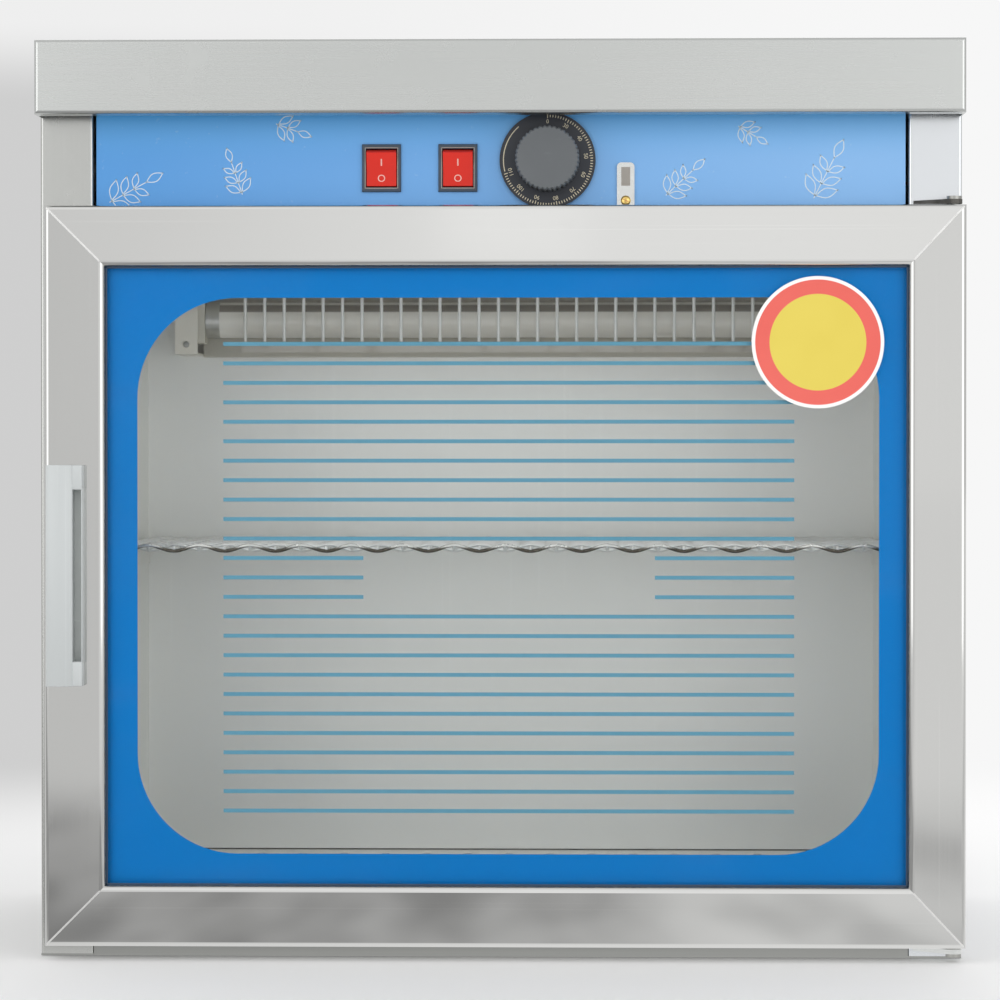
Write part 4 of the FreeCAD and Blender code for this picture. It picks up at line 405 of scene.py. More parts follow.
bright_wire = plated(
    "bright wire", ink(250, 250, 248), 0.28, ink(232, 230, 224), grain=500.0, metal=0.3, depth=3 * MICRON)
crimped_wire = bent_wire()
# dark iron that stands in for shade: painted shade on the top hinge bracket in its gap, in the screws' cross
# recesses and along the chamber's floor joint
dark_iron_shade = plated("hinge iron", ink(104, 102, 98), 0.4, ink(62, 58, 54))
bracket_steel = plated("bracket steel", ink(226, 228, 226), 0.22, ink(190, 188, 180))
brass = plated("screw brass", ink(228, 196, 120), 0.2, ink(170, 130, 70))
copper = plated("copper line", ink(205, 128, 92), 0.3, ink(110, 76, 60))
heater_sheath = plated("heater sheath", ink(122, 112, 104), 0.45, ink(70, 60, 54))
cap_metal = plated("lamp cap aluminium", ink(214, 212, 206), 0.3, ink(170, 166, 156))
handle_satin = sheet_steel(
    "handle satin", ink(200, 204, 204), 0.5, ALONG_Z, streaks=0.03, waviness=0.0, fingerprints=0.04,
    metal=0.2)
# the lamp channel is the lamp's ivory enamel painted darker, painted shade below the tube
channel_ivory_shaded = enamelled("channel ivory", ink(204, 200, 188), 0.3, ink(150, 142, 126))
lamp_ivory = enamelled("lamp ivory", ink(246, 241, 230), 0.3, ink(186, 174, 150))
ballast_enamel = enamelled("ballast enamel", ink(150, 154, 156), 0.4, ink(96, 92, 86))
thermostat_case = plated("thermostat case", ink(190, 188, 180), 0.36, ink(140, 134, 122))
white_plastic = moulded("white plastic", ink(226, 222, 210), 0.45, scuff=1.1)
switch_black = moulded("switch black", ink(62, 74, 88), 0.38)
switch_red = moulded(
    "switch red", ink(226, 46, 32), 0.3, grain=300.0, depth=10 * MICRON, scuff=1.25, coat_weight=0.25,
    coat_roughness=0.12, specular_ior_level=0.2)
dial_black = moulded("dial black", ink(46, 50, 58), 0.4)
knob_grey = moulded("knob grey", ink(94, 98, 101), 0.46, grain=1200.0)
switch_grey = moulded("switch grey", ink(164, 158, 150), 0.5)
seal_rubber = moulded("seal rubber", ink(60, 60, 60), 0.7)
# dark bead rubber, partly painted shade along the pane's edge
bead_rubber_shade = moulded("bead rubber", ink(52, 74, 98), 0.6, grain=500.0)
gasket_rubber = moulded("gasket rubber", ink(122, 124, 126), 0.72, grain=500.0, depth=50 * MICRON)
pale_marks = moulded("pale marks", ink(224, 214, 186), 0.5, depth=10 * MICRON, scuff=1.05)
white_marks = moulded("white marks", ink(244, 190, 180), 0.45, depth=10 * MICRON, scuff=1.05)
panel_blue = panel_print()
panel_white = screen_ink("panel white print", ink(236, 248, 255), opacity=0.88)
border_ink = screen_ink("border ink", ink(0, 138, 222))
stripe_ink = screen_ink("stripe ink", ink(116, 182, 210), opacity=0.94)
label_print = ringed_label()
door_pane = window_glass()
quartz_tube = quartz()

NODE_FINISHES = {
    "base_pan": base_steel_shaded, "left_side_panel": steel_z_shaded, "right_side_panel": steel_z_lit, "top_cap": steel_x,
    "header_rail": steel_x, "rear_panel": rear_zinc, "liner_left": liner_steel, "liner_right": liner_steel,
    "liner_back": liner_steel, "chamber_ceiling": liner_steel, "heater_cover": floor_steel,
    "shelf_support_left": floor_steel, "shelf_support_right": floor_steel, "control_panel": panel_blue,
    "heater_element": heater_sheath, "heater_clips": zinc_pieces, "hinge_pins": zinc_pieces,
    "rear_panel_screws": zinc_pieces, "thermostat_shaft": zinc_pieces, "hinge_bracket_top": dark_iron_shade,
    "hinge_bracket_bottom": bracket_steel, "lamp_channel": channel_ivory_shaded, "lamp_end_covers": lamp_ivory,
    "lampholders": white_plastic, "starter": white_plastic, "terminal_block": white_plastic,
    "hinge_blocks": white_plastic, "uv_tube": quartz_tube, "uv_tube_caps": cap_metal,
    "lamp_guard_rails": guard_strip, "lamp_guard_hoops": bright_wire, "shelf_frame": bright_wire,
    "shelf_wires": bright_wire, "ballast": ballast_enamel, "thermostat_body": thermostat_case,
    "capillary_sensor": copper, "rocker_housing_left": switch_black, "rocker_housing_right": switch_black,
    "door_switch_plunger": switch_grey, "cord_gland": dial_black, "rocker_left": switch_red,
    "rocker_right": switch_red, "dial_skirt": dial_black, "knob": knob_grey, "door_switch_body": switch_grey,
    "door_switch_bracket": bracket_steel, "bracket_screw": brass, "door_stile_left": polished_z,
    "door_stile_right": polished_z, "door_rail_top": polished_x, "door_rail_bottom": polished_x,
    "door_back_frame": polished_x, "door_glass": door_pane, "glass_seal": seal_rubber,
    "door_gasket": gasket_rubber, "glass_border_print": border_ink, "glass_stripe_print": stripe_ink,
    "round_label": label_print, "door_handle": handle_satin,
}
for node, finish in NODE_FINISHES.items():
    for slot in NODES[node].material_slots:
        slot.material = finish


# ---------------------------------------------------------------- shaping helpers

def joined(*shapes):
    """Several shapes as one; the shapes themselves are freed."""
    whole = bmesh.new()
    for shape in shapes:
        carrier = bpy.data.meshes.new("carrier")
        shape.to_mesh(carrier)
        shape.free()
        whole.from_mesh(carrier)
        bpy.data.meshes.remove(carrier)
    return whole


def eased(shape, width, steps=2, sharper=30.0, where=None):
    """Rounds the edges that turn more sharply than an angle."""
    edges = [
        edge for edge in shape.edges
        if edge.is_manifold and edge.calc_face_angle(0.0) > math.radians(sharper)
        and (where is None or where(edge))]
    bmesh.ops.bevel(
        shape, geom=edges, offset=width, offset_type="OFFSET", segments=steps, profile=0.5,
        affect="EDGES", clamp_overlap=True, material=-1)
    return shape


def block(low, high):
    """A box between two corners."""
    low, high = Vector(low), Vector(high)
    shape = bmesh.new()
    verts = bmesh.ops.create_cube(shape, size=1.0)["verts"]
    bmesh.ops.scale(shape, vec=high - low, verts=verts)
    bmesh.ops.translate(shape, vec=(low + high) / 2, verts=verts)
    return shape


TO_REAR = Matrix.Rotation(-math.pi / 2, 4, "X")
TO_FRONT = Matrix.Rotation(math.pi / 2, 4, "X")


def about_y(point, angle):
    """Turns a shape at the origin about Y and takes it to a point."""
    return Matrix.Translation(point) @ Matrix.Rotation(angle, 4, "Y")


def moved(shape, matrix):
    bmesh.ops.transform(shape, matrix=matrix, verts=shape.verts)
    return shape


def rod(radius, start, length, sides):
    """A round bar from a point towards the rear."""
    shape = bmesh.new()
    bmesh.ops.create_cone(
        shape, cap_ends=True, segments=sides, radius1=radius, radius2=radius, depth=length)
    moved(shape, Matrix.Translation((0, 0, length / 2)))
    return moved(shape, Matrix.Translation(start) @ TO_REAR)


def pushed(shape, region, direction):
    """Extrudes a region along a vector; returns its new faces and corners."""
    made = bmesh.ops.extrude_face_region(shape, geom=region)["geom"]
    verts = [part for part in made if isinstance(part, bmesh.types.BMVert)]
    bmesh.ops.translate(shape, vec=direction, verts=verts)
    return [part for part in made if isinstance(part, bmesh.types.BMFace)], verts


def prism(outline, direction):
    """A flat outline pushed out along a vector."""
    shape = bmesh.new()
    face = shape.faces.new([shape.verts.new(corner) for corner in outline])
    pushed(shape, [face], direction)
    bmesh.ops.recalc_face_normals(shape, faces=shape.faces)
    return shape


def from_node(node):
    """The solid's own mesh with its loose triangles merged into whole faces."""
    shape = bmesh.new()
    shape.from_mesh(NODES[node].data)
    bmesh.ops.remove_doubles(shape, verts=shape.verts, dist=1e-6)
    bmesh.ops.dissolve_limit(
        shape, angle_limit=math.radians(0.5), verts=shape.verts, edges=shape.edges, delimit={"NORMAL"})
    return shape


def piece(name, shape, finish, body, replaces=(), smooth=35.0):
    """A finished piece that rides a body and may stand for nodes; smooth is an angle."""
    mesh = bpy.data.meshes.new(name)
    shape.to_mesh(mesh)
    shape.free()
    mesh.materials.append(finish)
    mesh.shade_smooth()
    mesh.set_sharp_from_angle(angle=math.radians(smooth))
    thing = bpy.data.objects.new(name, mesh)
    bpy.context.scene.collection.objects.link(thing)
    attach(thing, body)
    if replaces:
        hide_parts(*replaces)


def from_curve(curve):
    """A curve's own shape as a mesh; the curve's object is removed."""
    holder = bpy.data.objects.new("curve", curve)
    bpy.context.scene.collection.objects.link(holder)
    bpy.context.view_layer.update()
    mesh = bpy.data.meshes.new_from_object(holder.evaluated_get(bpy.context.evaluated_depsgraph_get()))
    bpy.data.objects.remove(holder)
    shape = bmesh.new()
    shape.from_mesh(mesh)
    bpy.data.meshes.remove(mesh)
    return shape


def lettering(words, height, thickness):
    """Figures standing on the XZ plane, read from the front, centred on the origin."""
    curve = bpy.data.curves.new("figures", "FONT")
    curve.body = words
    curve.size = height
    curve.align_x = "CENTER"
    curve.align_y = "CENTER"
    curve.extrude = thickness / 2
    curve.resolution_u = 4
    shape = from_curve(curve)
    bmesh.ops.remove_doubles(shape, verts=shape.verts, dist=1e-7)
    return moved(shape, TO_FRONT)


def wire(points, radius, rounding=1):
    """A round wire along points."""
    curve = bpy.data.curves.new("wire", "CURVE")
    curve.dimensions = "3D"
    curve.bevel_depth = radius
    curve.bevel_resolution = rounding
    curve.use_fill_caps = True
    run = curve.splines.new("POLY")
    run.points.add(len(points) - 1)
    for spot, point in zip(run.points, points):
        spot.co = (*point, 1)
    return from_curve(curve)


# ---------------------------------------------------------------- wire shelf

def crimped_shelf():
    """Crimped wires woven over and under each other."""
    low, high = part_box("shelf_wires")
    radius = 1.2 * MM
    rise, dip = 1.9 * MM, 0.5 * MM
    level = low.z + radius + rise
    pitch, steps = 16.8 * MM, 8
    rows = int((high.y - low.y) // pitch)
    columns = int((high.x - low.x) // pitch)
    first_x = -columns / 2 * pitch + 2.8 * MM
    first_y = low.y + radius
    run_x, run_y = [], []
    for row in range(rows + 1):
        y = first_y + row * pitch
        count = int((high.x - low.x) / (pitch / steps))
        points = []
        for step in range(count + 1):
            x = low.x + (high.x - low.x) * step / count
            wave = math.cos(math.pi * ((x - first_x) / pitch + row))
            points.append((x, y, level - rise * wave))
        run_x.append(wire(points, radius, 6 if row == 0 else 1))
    for column in range(columns + 1):
        x = first_x + column * pitch
        count = int((high.y - low.y) / (pitch / steps))
        points = []
        for step in range(count + 1):
            y = low.y + (high.y - low.y) * step / count
            wave = math.cos(math.pi * ((y - first_y) / pitch + column))
            points.append((x, y, level + dip * wave))
        # the front end is welded to the first cross wire
        points[0] = (x, first_y, level - rise * math.cos(math.pi * column))
        run_y.append(wire(points, radius))
    front, *others = run_x
    piece("front_crimped_wire", front, crimped_wire, "shelf", ["shelf_wires"], smooth=60)
    piece("crimped_shelf_wires", joined(*others, *run_y), bright_wire, "shelf",
          ["shelf_wires"], smooth=60)


crimped_shelf()


# ---------------------------------------------------------------- dial and knob

FLUTES, KNOB_SIDES = 40, 192
FLUTE_DEPTH = 0.036     # share of the radius
FLUTED_FROM = 0.95      # rings inside this share of the radius stay round

# the knob's side from back to face: share of the radius, share of the height
KNOB_PROFILE = [(1.0, 0.0), (1.0, 0.94), (0.955, 1.0), (0.9, 1.0), (0.86, 0.985)]


def fluted_knob():
    """A disc pushed forwards in steps, its sides drawn in at each flute."""
    low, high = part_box("knob")
    centre = (low + high) / 2
    radius, height = (high.x - low.x) / 2, high.y - low.y
    grip = bmesh.new()
    verts = bmesh.ops.create_circle(
        grip, cap_ends=True, cap_tris=True, segments=KNOB_SIDES, radius=radius)["verts"]
    moved(grip, Matrix.Translation((centre.x, high.y, centre.z)) @ TO_FRONT)
    faces = grip.faces[:]
    step = 2 * math.pi / KNOB_SIDES
    for index, (share, along) in enumerate(KNOB_PROFILE):
        if index:
            edges = list(dict.fromkeys(edge for face in faces for edge in face.edges))
            faces, verts = pushed(grip, faces + edges, (0, 0, 0))
        for vert in verts:
            vert.co.y = high.y - along * height
            across, up = vert.co.x - centre.x, vert.co.z - centre.z
            if math.hypot(across, up) < radius / 2:
                continue
            angle = round(math.atan2(up, across) / step) * step
            wave = max(0.0, math.cos(FLUTES * angle)) ** 0.5 if share > FLUTED_FROM else 0.0
            reach = radius * (share - wave * FLUTE_DEPTH)
            vert.co.x, vert.co.z = centre.x + reach * math.cos(angle), centre.z + reach * math.sin(angle)
    bmesh.ops.recalc_face_normals(grip, faces=grip.faces)
    piece("fluted_knob", grip, knob_grey, "thermostat_knob", ["knob"], smooth=25)


fluted_knob()


def dial_figures():
    """Ticks with a number at every eighth, and an arc over the part without a scale."""
    low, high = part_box("knob")
    middle = Vector(((low.x + high.x) / 2, 0, (low.z + high.z) / 2))
    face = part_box("dial_skirt")[0].y
    rim, number_radius, arc_radius = 29.6 * MM, 25.0 * MM, 28.4 * MM
    ticks, tick_step, tick_half = 73, math.radians(3.5), 0.27 * MM
    dots, arc_start, dot_step, dot_half = 40, math.radians(256), math.radians(1.6), 0.42 * MM
    numbers = ["0", "30", "40", "50", "60", "70", "80", "90", "100", "110"]
    marks = []
    for index in range(ticks):
        numbered = index % 8 == 0
        reach = 2.3 * MM if numbered else 1.7 * MM
        turned = about_y(middle, index * tick_step)
        tick = block((-tick_half, face - 0.08 * MM, rim - reach), (tick_half, face + 0.1 * MM, rim))
        marks.append(moved(tick, turned))
        if numbered:
            number = lettering(numbers[index // 8], 3.7 * MM, 0.18 * MM)
            marks.append(moved(number, turned @ Matrix.Translation((0, face, number_radius))))
    for index in range(dots):
        dot = block(
            (-dot_half, face - 0.06 * MM, arc_radius), (dot_half, face + 0.1 * MM, arc_radius + 0.6 * MM))
        marks.append(moved(dot, about_y(middle, arc_start + index * dot_step)))
    piece("dial_figures", joined(*marks), pale_marks, "thermostat_knob")


dial_figures()


# ---------------------------------------------------------------- rocker switches

def rocker_switch(side, x):
    """Bezel with its grey lip, a painted highlight on the bezel's inner edge, and a rocker with its two
    marks.
    """
    node = "rocker_housing_" + side
    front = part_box(node)[0].y
    housing = from_node(node)
    eased(housing, 0.7 * MM, steps=3, where=lambda edge: all(
        v.co.y < front + 0.1 * MM for v in edge.verts))
    piece("switch_bezel_" + side, housing, switch_black, "cabinet", [node])

    # the grey lip is a painted highlight along the bezel's inner edge
    middle, lip_half = 0.514, 0.25
    lip_x, lip_z = 10.6, 13.15
    highlight_lip = []
    for off_x, off_z, half_x, half_z in (
            (-lip_x, 0, lip_half, lip_z + lip_half), (lip_x, 0, lip_half, lip_z + lip_half),
            (0, -lip_z, lip_x, lip_half), (0, lip_z, lip_x, lip_half)):
        highlight_lip.append(block(
            (x + (off_x - half_x) * MM, front - 0.03 * MM, middle + (off_z - half_z) * MM),
            (x + (off_x + half_x) * MM, front + 0.2 * MM, middle + (off_z + half_z) * MM)))
    piece("switch_lip_" + side, joined(*highlight_lip), switch_grey, "cabinet")

    cap = from_node("rocker_" + side)
    touch = BVHTree.FromBMesh(cap)

    def landing(height):
        """The rocker's face at a height, tilt included."""
        spot, facing = touch.ray_cast(Vector((x, -1, height)), Vector((0, 1, 0)))[:2]
        return Matrix.Translation(spot) @ Matrix.Rotation(math.atan2(-facing.z, -facing.y), 4, "X")

    stroke_height, ring_height = 0.5176, 0.5071
    upper, lower = landing(stroke_height), landing(ring_height)
    face_from = -0.1735
    eased(cap, 0.5 * MM, steps=3, where=lambda edge: max(v.co.y for v in edge.verts) < face_from)
    body = side + "_rocker"
    piece("rocker_cap_" + side, cap, switch_red, body, ["rocker_" + side])
    stroke = moved(block((-0.45 * MM, -0.05 * MM, -2.3 * MM), (0.45 * MM, 0.3 * MM, 2.3 * MM)), upper)
    ring = moved(lettering("O", 6.6 * MM, 0.3 * MM), lower)
    piece("switch_marks_" + side, joined(stroke, ring), white_marks, body)


rocker_switch("left", -0.0771)
rocker_switch("right", -0.0273)


# ---------------------------------------------------------------- door handle

def handle():
    """Moulded grip bar with a curved front, on a rim round a pale recess for the fingers."""
    low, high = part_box("door_handle")
    bar_edge, rim_edge = -0.2739, -0.2683
    notch_low, notch_high = 0.1941, 0.3047
    lap, wall = 1 * MM, 6.2 * MM
    steps, crown, fullness = 12, 0.45, 2.2
    crest = []
    reach = bar_edge - low.x
    for step in range(steps + 1):
        share = step / steps
        fall = 2.8 * MM * abs((share - crown) / (1 - crown)) ** fullness
        crest.append((low.x + reach * share, low.y + fall))
    inner = low.y + 11.6 * MM
    back = bar_edge - wall
    outline = [(low.x, high.y), *crest, (bar_edge, inner), (back, inner), (back, high.y)]
    bar = prism([(x, y, low.z) for x, y in outline], (0, 0, high.z - low.z))
    eased(bar, 0.35 * MM, sharper=40)
    rim_front = low.y + 3.0 * MM
    ends = []
    for first, last in ((low.z, notch_low), (notch_high, high.z)):
        end = block((back - 0.1 * MM, rim_front, first), (high.x, high.y, last))
        ends.append(eased(end, 0.8 * MM, steps=3))
    rim = block((rim_edge, rim_front + 0.4 * MM, notch_low - lap), (high.x, high.y, notch_high + lap))
    eased(rim, 0.2 * MM)
    floor = block((back - 0.2 * MM, DOOR_FACE - 2.0 * MM, notch_low - lap),
                  (high.x - 0.2 * MM, high.y, notch_high + lap))
    piece("handle_pull", joined(bar, *ends, rim), handle_satin, "door", ["door_handle"],
          smooth=40)
    piece("handle_recess", floor, recess_grey, "door", ["door_handle"])


handle()


# ---------------------------------------------------------------- door seams

def float_glass():
    """The pane, a hair clear of the print on its back."""
    low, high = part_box("door_glass")
    pane = eased(block(low, (high.x, high.y - 0.05 * MM, high.z)), 0.3 * MM)
    piece("float_glass_pane", pane, door_pane, "door", ["door_glass"])


float_glass()


def pane_bead():
    """Dark rubber bead where the pane meets the frame, partly painted shade along the frame's inner edge."""
    left, right = OPENING[0]
    bottom, top = OPENING[1]
    width, front, back = 1.1 * MM, -0.1974, -0.1962
    sides = [((left, bottom), (left + width, top)), ((right - width, bottom), (right, top)),
             ((left, bottom), (right, bottom + width)), ((left, top - width), (right, top))]
    bars = [
        eased(block((low_x, front, low_z), (high_x, back, high_z)), 0.3 * MM)
        for (low_x, low_z), (high_x, high_z) in sides]
    piece("pane_bead", joined(*bars), bead_rubber_shade, "door")


pane_bead()


def mitre_welds():
    """Ground weld seams across the corners of the door frame."""
    door = ((-0.294, 0.3005), (0.0092, 0.4883))
    half, start, short = 0.6 * MM, 2.2 * MM, 5.0 * MM
    seams = []
    for right, upper in ((1, 1), (1, 0), (0, 1), (0, 0)):
        outer = Vector((door[0][right], DOOR_FACE, door[1][upper]))
        inner = Vector((OPENING[0][right], DOOR_FACE, OPENING[1][upper]))
        across = inner - outer
        seam = block((-half, -0.02 * MM, start), (half, 0.3 * MM, across.length - short))
        seams.append(moved(seam, about_y(outer, math.atan2(across.x, across.z))))
    piece("mitre_welds", joined(*seams), weld_steel, "door")


mitre_welds()


# ---------------------------------------------------------------- small fasteners

def cross_head(x, y, z, radius, height):
    """Pan-head screw on the rear, and the two dark bars of painted shade that stand for its cross."""
    head = rod(radius, (x, y, z), height, 28)
    eased(head, height * 0.45, steps=4, sharper=60, where=lambda edge: all(
        v.co.y > y + height / 2 for v in edge.verts))
    recess = []
    for turn in (0.35, 0.35 + math.pi / 2):
        slot = block((-radius * 0.58, 0, -radius * 0.1), (radius * 0.58, 0.12 * MM, radius * 0.1))
        recess.append(moved(slot, about_y((x, y + height - 0.1 * MM, z), turn)))
    return head, recess


def rear_screws():
    """Four screws down each side of the rear panel."""
    low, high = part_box("rear_panel_screws")
    radius, shank, rows = 4.0 * MM, 2.0 * MM, 4
    back = high.y - 2.4 * MM
    heads, slots = [], []
    for side in (low.x + radius, high.x - radius):
        for row in range(rows):
            height = low.z + radius + (high.z - low.z - 2 * radius) * row / (rows - 1)
            head, recess = cross_head(side, back, height, radius, 2.3 * MM)
            heads += [head, rod(shank, (side, low.y, height), back - low.y, 16)]
            slots += recess
    piece("pan_head_screws", joined(*heads), zinc_pieces, "cabinet", ["rear_panel_screws"])
    piece("screw_recess_shade", joined(*slots), dark_iron_shade, "cabinet")


rear_screws()


def brass_screw():
    """Slotted brass dome on the small bracket; its slot is a darker bar of painted shade."""
    low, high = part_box("bracket_screw")
    middle = (low + high) / 2
    seat = (middle.x, BRACKET_FACE, middle.z)
    radius, height, sink = 3.3 * MM, 1.7 * MM, 0.2 * MM
    head = bmesh.new()
    bmesh.ops.create_uvsphere(head, u_segments=32, v_segments=16, radius=radius)
    bmesh.ops.bisect_plane(
        head, geom=head.verts[:] + head.edges[:] + head.faces[:], plane_co=(0, 0, 0), plane_no=(0, 0, -1),
        clear_outer=True)
    bmesh.ops.holes_fill(head, edges=[edge for edge in head.edges if edge.is_boundary])
    bmesh.ops.scale(head, vec=(1, 1, height / radius), verts=head.verts)
    moved(head, Matrix.Translation(seat) @ TO_FRONT)
    front = BRACKET_FACE - sink
    shank = rod(1.5 * MM, (middle.x, front, middle.z), high.y - front, 20)
    # the slot is a darker bar, painted shade in the recess
    slot = block((-2.2 * MM, -height - 0.01 * MM, -0.2 * MM), (2.2 * MM, -1.2 * MM, 0.2 * MM))
    moved(slot, about_y(seat, 0.4))
    piece("brass_dome_screw", joined(head, shank), brass, "cabinet", ["bracket_screw"])
    piece("brass_slot_shade", slot, copper, "cabinet")


brass_screw()


def six_sided(verts):
    """Draws a circle round Z in to the hexagon inside it."""
    sixth = math.pi / 3
    for vert in verts:
        angle = math.atan2(vert.co.y, vert.co.x)
        vert.co *= math.cos(sixth / 2) / math.cos((angle % sixth) - sixth / 2)


def cord_gland():
    """Hollow gland: a nut inside, its neck through the panel, a hexagon and a round cap outside."""
    low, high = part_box("cord_gland")
    centre = (low + high) / 2
    panel, nut, lap = 1.2 * MM, 5.0 * MM, 0.2 * MM
    inside = REAR_FACE - panel
    cap = REAR_FACE + nut - lap
    shapes = []
    for start, length, radius, hexagon in (
            (low.y, inside - low.y, 9.6 * MM, True), (inside, panel, 6.0 * MM, False),
            (REAR_FACE, nut, 9.8 * MM, True), (cap, high.y - cap, 8.6 * MM, False)):
        shape = bmesh.new()
        outer = bmesh.ops.create_circle(shape, segments=48, radius=radius)["verts"]
        if hexagon:
            six_sided(outer)
        bmesh.ops.create_circle(shape, segments=48, radius=4.0 * MM)
        bmesh.ops.bridge_loops(shape, edges=shape.edges[:])
        pushed(shape, shape.faces[:], (0, 0, length))
        bmesh.ops.recalc_face_normals(shape, faces=shape.faces)
        eased(shape, 0.4 * MM, sharper=50)
        shapes.append(moved(shape, Matrix.Translation((centre.x, start, centre.z)) @ TO_REAR))
    piece("hex_cord_gland", joined(*shapes), dial_black, "cabinet", ["cord_gland"])


cord_gland()


def cover_screws():
    """Two small screws on each of the lamp's end covers."""
    low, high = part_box("lamp_end_covers")
    in_x, in_z = 8.2 * MM, 7 * MM
    heads = []
    for x in (low.x + in_x, high.x - in_x):
        for z in (low.z + in_z, high.z - in_z):
            head = rod(2.2 * MM, (x, low.y - 1.1 * MM, z), 1.2 * MM, 24)
            eased(head, 0.5 * MM, steps=3, sharper=60, where=lambda edge: all(
                v.co.y < low.y - 0.5 * MM for v in edge.verts))
            heads.append(head)
    piece("cover_screws", joined(*heads), zinc_pieces, "cabinet")


cover_screws()


def chamber_seam_shade():
    """Dark joint where the chamber's floor meets its back, with painted shade in the crease."""
    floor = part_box("heater_cover")[1].z
    low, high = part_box("liner_back")
    seam = block((low.x + 1 * MM, low.y - 0.5 * MM, floor - 0.1 * MM),
                 (high.x - 1 * MM, low.y + 0.2 * MM, floor + 0.9 * MM))
    piece("chamber_seam_shade", seam, dark_iron_shade, "cabinet")


chamber_seam_shade()


# ---------------------------------------------------------------- printed sprigs on the panel

PRINTED_LINE = 0.6 * MM


def leaf(length, width):
    """Outline of one pointed leaf from the origin along +X, as a thin ribbon."""
    shape = bmesh.new()
    verts = bmesh.ops.create_circle(shape, cap_ends=True, segments=28, radius=1.0)["verts"]
    for vert in verts:
        along = (vert.co.x + 1) / 2
        half = math.sin(math.pi * along) ** 1.2 * width / 2
        vert.co = (along * length, math.copysign(half, vert.co.y), 0)
    bmesh.ops.remove_doubles(shape, verts=shape.verts, dist=1e-6)
    inner = bmesh.ops.inset_region(
        shape, faces=shape.faces[:], thickness=PRINTED_LINE, use_even_offset=True, use_boundary=True)
    rim = set(inner["faces"])
    bmesh.ops.delete(shape, geom=[face for face in shape.faces if face not in rim], context="FACES")
    return shape


def sprig(x, z, turn, size, leaves):
    """A stem with leaves in pairs and a closing leaf."""
    parts = []
    stem = bmesh.new()
    bmesh.ops.create_grid(stem, x_segments=1, y_segments=1, size=0.5)
    bmesh.ops.scale(stem, vec=(size * leaves * 0.62, PRINTED_LINE, 1), verts=stem.verts)
    bmesh.ops.translate(stem, vec=(size * leaves * 0.31, 0, 0), verts=stem.verts)
    parts.append(stem)
    for index in range(leaves):
        reach = size * (1 - index * 0.12)
        for side in (1, -1):
            place = Matrix.Translation((size * 0.55 * index + size * 0.1, 0, 0))
            parts.append(moved(leaf(reach, reach * 0.42), place @ Matrix.Rotation(side * 0.85, 4, "Z")))
    closing = leaf(size * 0.9, size * 0.4)
    parts.append(moved(closing, Matrix.Translation((size * leaves * 0.6, 0, 0))))
    print_plane = PANEL_FACE - 0.12 * MM
    upright = TO_FRONT @ Matrix.Rotation(turn, 4, "Z")
    return moved(joined(*parts), Matrix.Translation((x, print_plane, z)) @ upright)


def panel_sprigs():
    """Leaf sprigs over the blue panel: place, turn, size and pairs of leaves."""
    sprigs = [
        sprig(-0.255, 0.492, 0.5, 15 * MM, 3),
        sprig(-0.168, 0.497, 1.9, 12 * MM, 3),
        sprig(-0.146, 0.543, -0.35, 12 * MM, 2),
        sprig(0.108, 0.496, 0.75, 13 * MM, 3),
        sprig(0.155, 0.541, -0.55, 11 * MM, 2),
        sprig(0.204, 0.494, 1.1, 16 * MM, 3),
    ]
    piece("panel_sprig_print", joined(*sprigs), panel_white, "cabinet")


panel_sprigs()


# ---------------------------------------------------------------- floor, light and camera

EYE = (0.060, -2.575, 0.324)


def backdrop_tone(finish, direction):
    """Bright at the top and right, with a soft shade down the left."""
    side, ahead, up = finish.axes(direction)
    shade = (1.0 - side.rise(-0.15, -0.02)) * (1.0 - up.rise(0.095, 0.118)) * ahead.rise(0.93, 0.98)
    tone = finish.blend(side.rise(-0.16, 0.1), (0.86, 0.86, 0.86, 1), (0.93, 0.93, 0.93, 1))
    return finish.blend(shade, tone, (0.62, 0.62, 0.62, 1))


def studio_floor():
    """Plain pale floor; far out it takes the backdrop's tone, so no edge shows from the eye."""
    bpy.ops.mesh.primitive_circle_add(vertices=96, radius=30, fill_type="NGON", location=(0, 0, -0.0004))
    floor = bpy.context.object
    floor.name = "studio_floor"
    ground = Finish("studio floor")
    at = ground.place()
    across, along, _ = ground.axes(at)
    far = ground.length(at).rise(0.6, 1.5)
    shade = ground.noise(at, 1.5, 2.0)
    pale = 0.86 + across.rise(0.24, 0.4) * 0.10 + shade * 0.02
    plain = ground.surface(ground.grey(pale), 0.8)
    sight = ground.node("ShaderNodeVectorMath", {"operation": "NORMALIZE"}, {0: ground.apart(at, EYE)})
    glow = ground.node("ShaderNodeEmission", values={0: backdrop_tone(ground, sight), 1: 1.0})
    seen = ground.veil(far, plain, glow)

    # in front of the door the polished steel mirrors a darker, streaked floor
    streak = ground.noise(ground.scaled(at, (9, 2, 1), (0, 0, 0.2)), 1.0, 2.0).rise(0.3, 0.7)
    dark = 0.38 + across.rise(0.0, 0.2) * 0.26 + (streak - 0.5) * 0.22
    before = -along
    front = before.rise(0.2, 0.3) * (1.0 - before.rise(0.9, 1.6))
    pale = 0.72 + across.rise(-0.6, 0.2) * 0.14
    level = dark * front + pale * (1.0 - front)
    mirror = ground.node("ShaderNodeEmission", values={0: ground.grey(level), 1: 1.0})
    glossy = ground.node("ShaderNodeLightPath", output="Is Glossy Ray")
    floor.data.materials.append(ground.close(ground.veil(glossy, seen, mirror)))


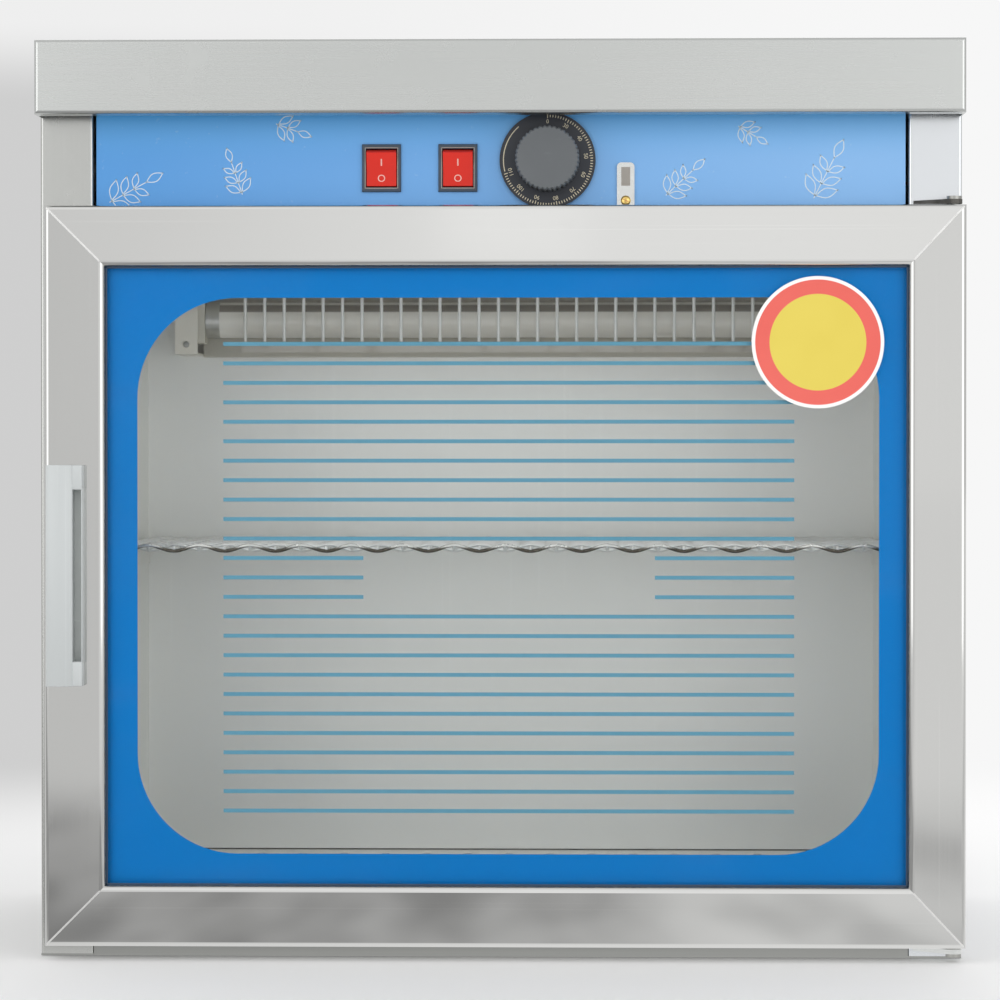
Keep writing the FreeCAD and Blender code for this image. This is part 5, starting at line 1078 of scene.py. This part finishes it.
def studio_room():
    """Even light; the eye sees the backdrop, and the steel mirrors a plain room."""
    world = bpy.data.worlds.new("studio")
    bpy.context.scene.world = world
    room = Finish("studio", world)
    direction = room.node("ShaderNodeTexCoord", output="Generated")
    side, depth, up = room.axes(direction)
    reach = depth.size().either(0.2)
    side_slope, up_slope = side / reach, up / reach

    # the room in the steel is a little darker on the left, with one soft lamp ahead
    before = -depth
    ahead = before.rise(0.90, 0.965)
    upper = 0.72 + side_slope.rise(-0.17, 0.0) * 0.2
    softbox = side_slope.near(-0.022, 0.013, 0.008) * up_slope.near(0.068, 0.009, 0.006)
    front_level = upper + softbox * 1.3
    around = 0.9 - (1.0 - before.rise(0.1, 0.8)) * 0.22
    level = front_level * ahead + around * (1.0 - ahead)

    def glow(colour, strength=1.0):
        return room.node("ShaderNodeBackground", values={0: colour, 1: strength})

    camera_ray, glossy, through = [
        room.node("ShaderNodeLightPath", output=name)
        for name in ("Is Camera Ray", "Is Glossy Ray", "Is Transmission Ray")]
    shown = room.veil(glossy, glow(WHITE, 0.96), glow(room.grey(level)))
    shown = room.veil(camera_ray.either(through), shown, glow(backdrop_tone(room, direction)))
    room.node("ShaderNodeOutputWorld", values={"Surface": shown})


def lamp(name, at, aim, width, height, power):
    data = bpy.data.lights.new(name, "AREA")
    data.shape = "RECTANGLE"
    data.size, data.size_y = width, height
    data.energy = power
    thing = bpy.data.objects.new(name, data)
    thing.location = at
    thing.rotation_euler = (Vector(aim) - Vector(at)).to_track_quat("-Z", "Y").to_euler()
    bpy.context.scene.collection.objects.link(thing)
    return thing


def studio_lamps():
    """Two broad lamps in front, one behind, and three faint ones inside the chamber."""
    middle = (0, 0, 0.3)
    lamp("key", (-2.45, -3.2, 1.15), middle, 3.0, 2.8, 23)
    lamp("fill", (2.4, -3.2, 1.0), middle, 3.0, 2.8, 24)
    lamp("back", (0.3, 2.6, 1.9), middle, 2.4, 1.8, 9.5)
    inner = [
        lamp(name, (0, -0.14, height), (0, 0.1, height), 0.50, 0.14, power)
        for name, height, power in (("upper chamber", 0.385, 0.062), ("lower chamber", 0.145, 0.033))]
    inner.append(lamp("shelf glint", (0, -0.15, 0.33), (0, -0.11, 0.262), 0.46, 0.006, 0.03))
    for thing in inner:
        thing.visible_camera = False


def studio_eye():
    """The camera, a little above the cabinet's middle, looking slightly down and to the left."""
    down, left = 0.01091, 0.02494
    eye = bpy.data.cameras.new("eye")
    eye.sensor_width = 36
    eye.lens = 132.7
    eye.clip_start = 0.05
    camera = bpy.data.objects.new("eye", eye)
    camera.location = EYE
    camera.rotation_euler = (math.pi / 2 - down, 0, left)
    bpy.context.scene.collection.objects.link(camera)
    bpy.context.scene.camera = camera


studio_floor()
studio_room()
studio_lamps()
studio_eye()

bpy.context.scene.view_settings.view_transform = "Standard"
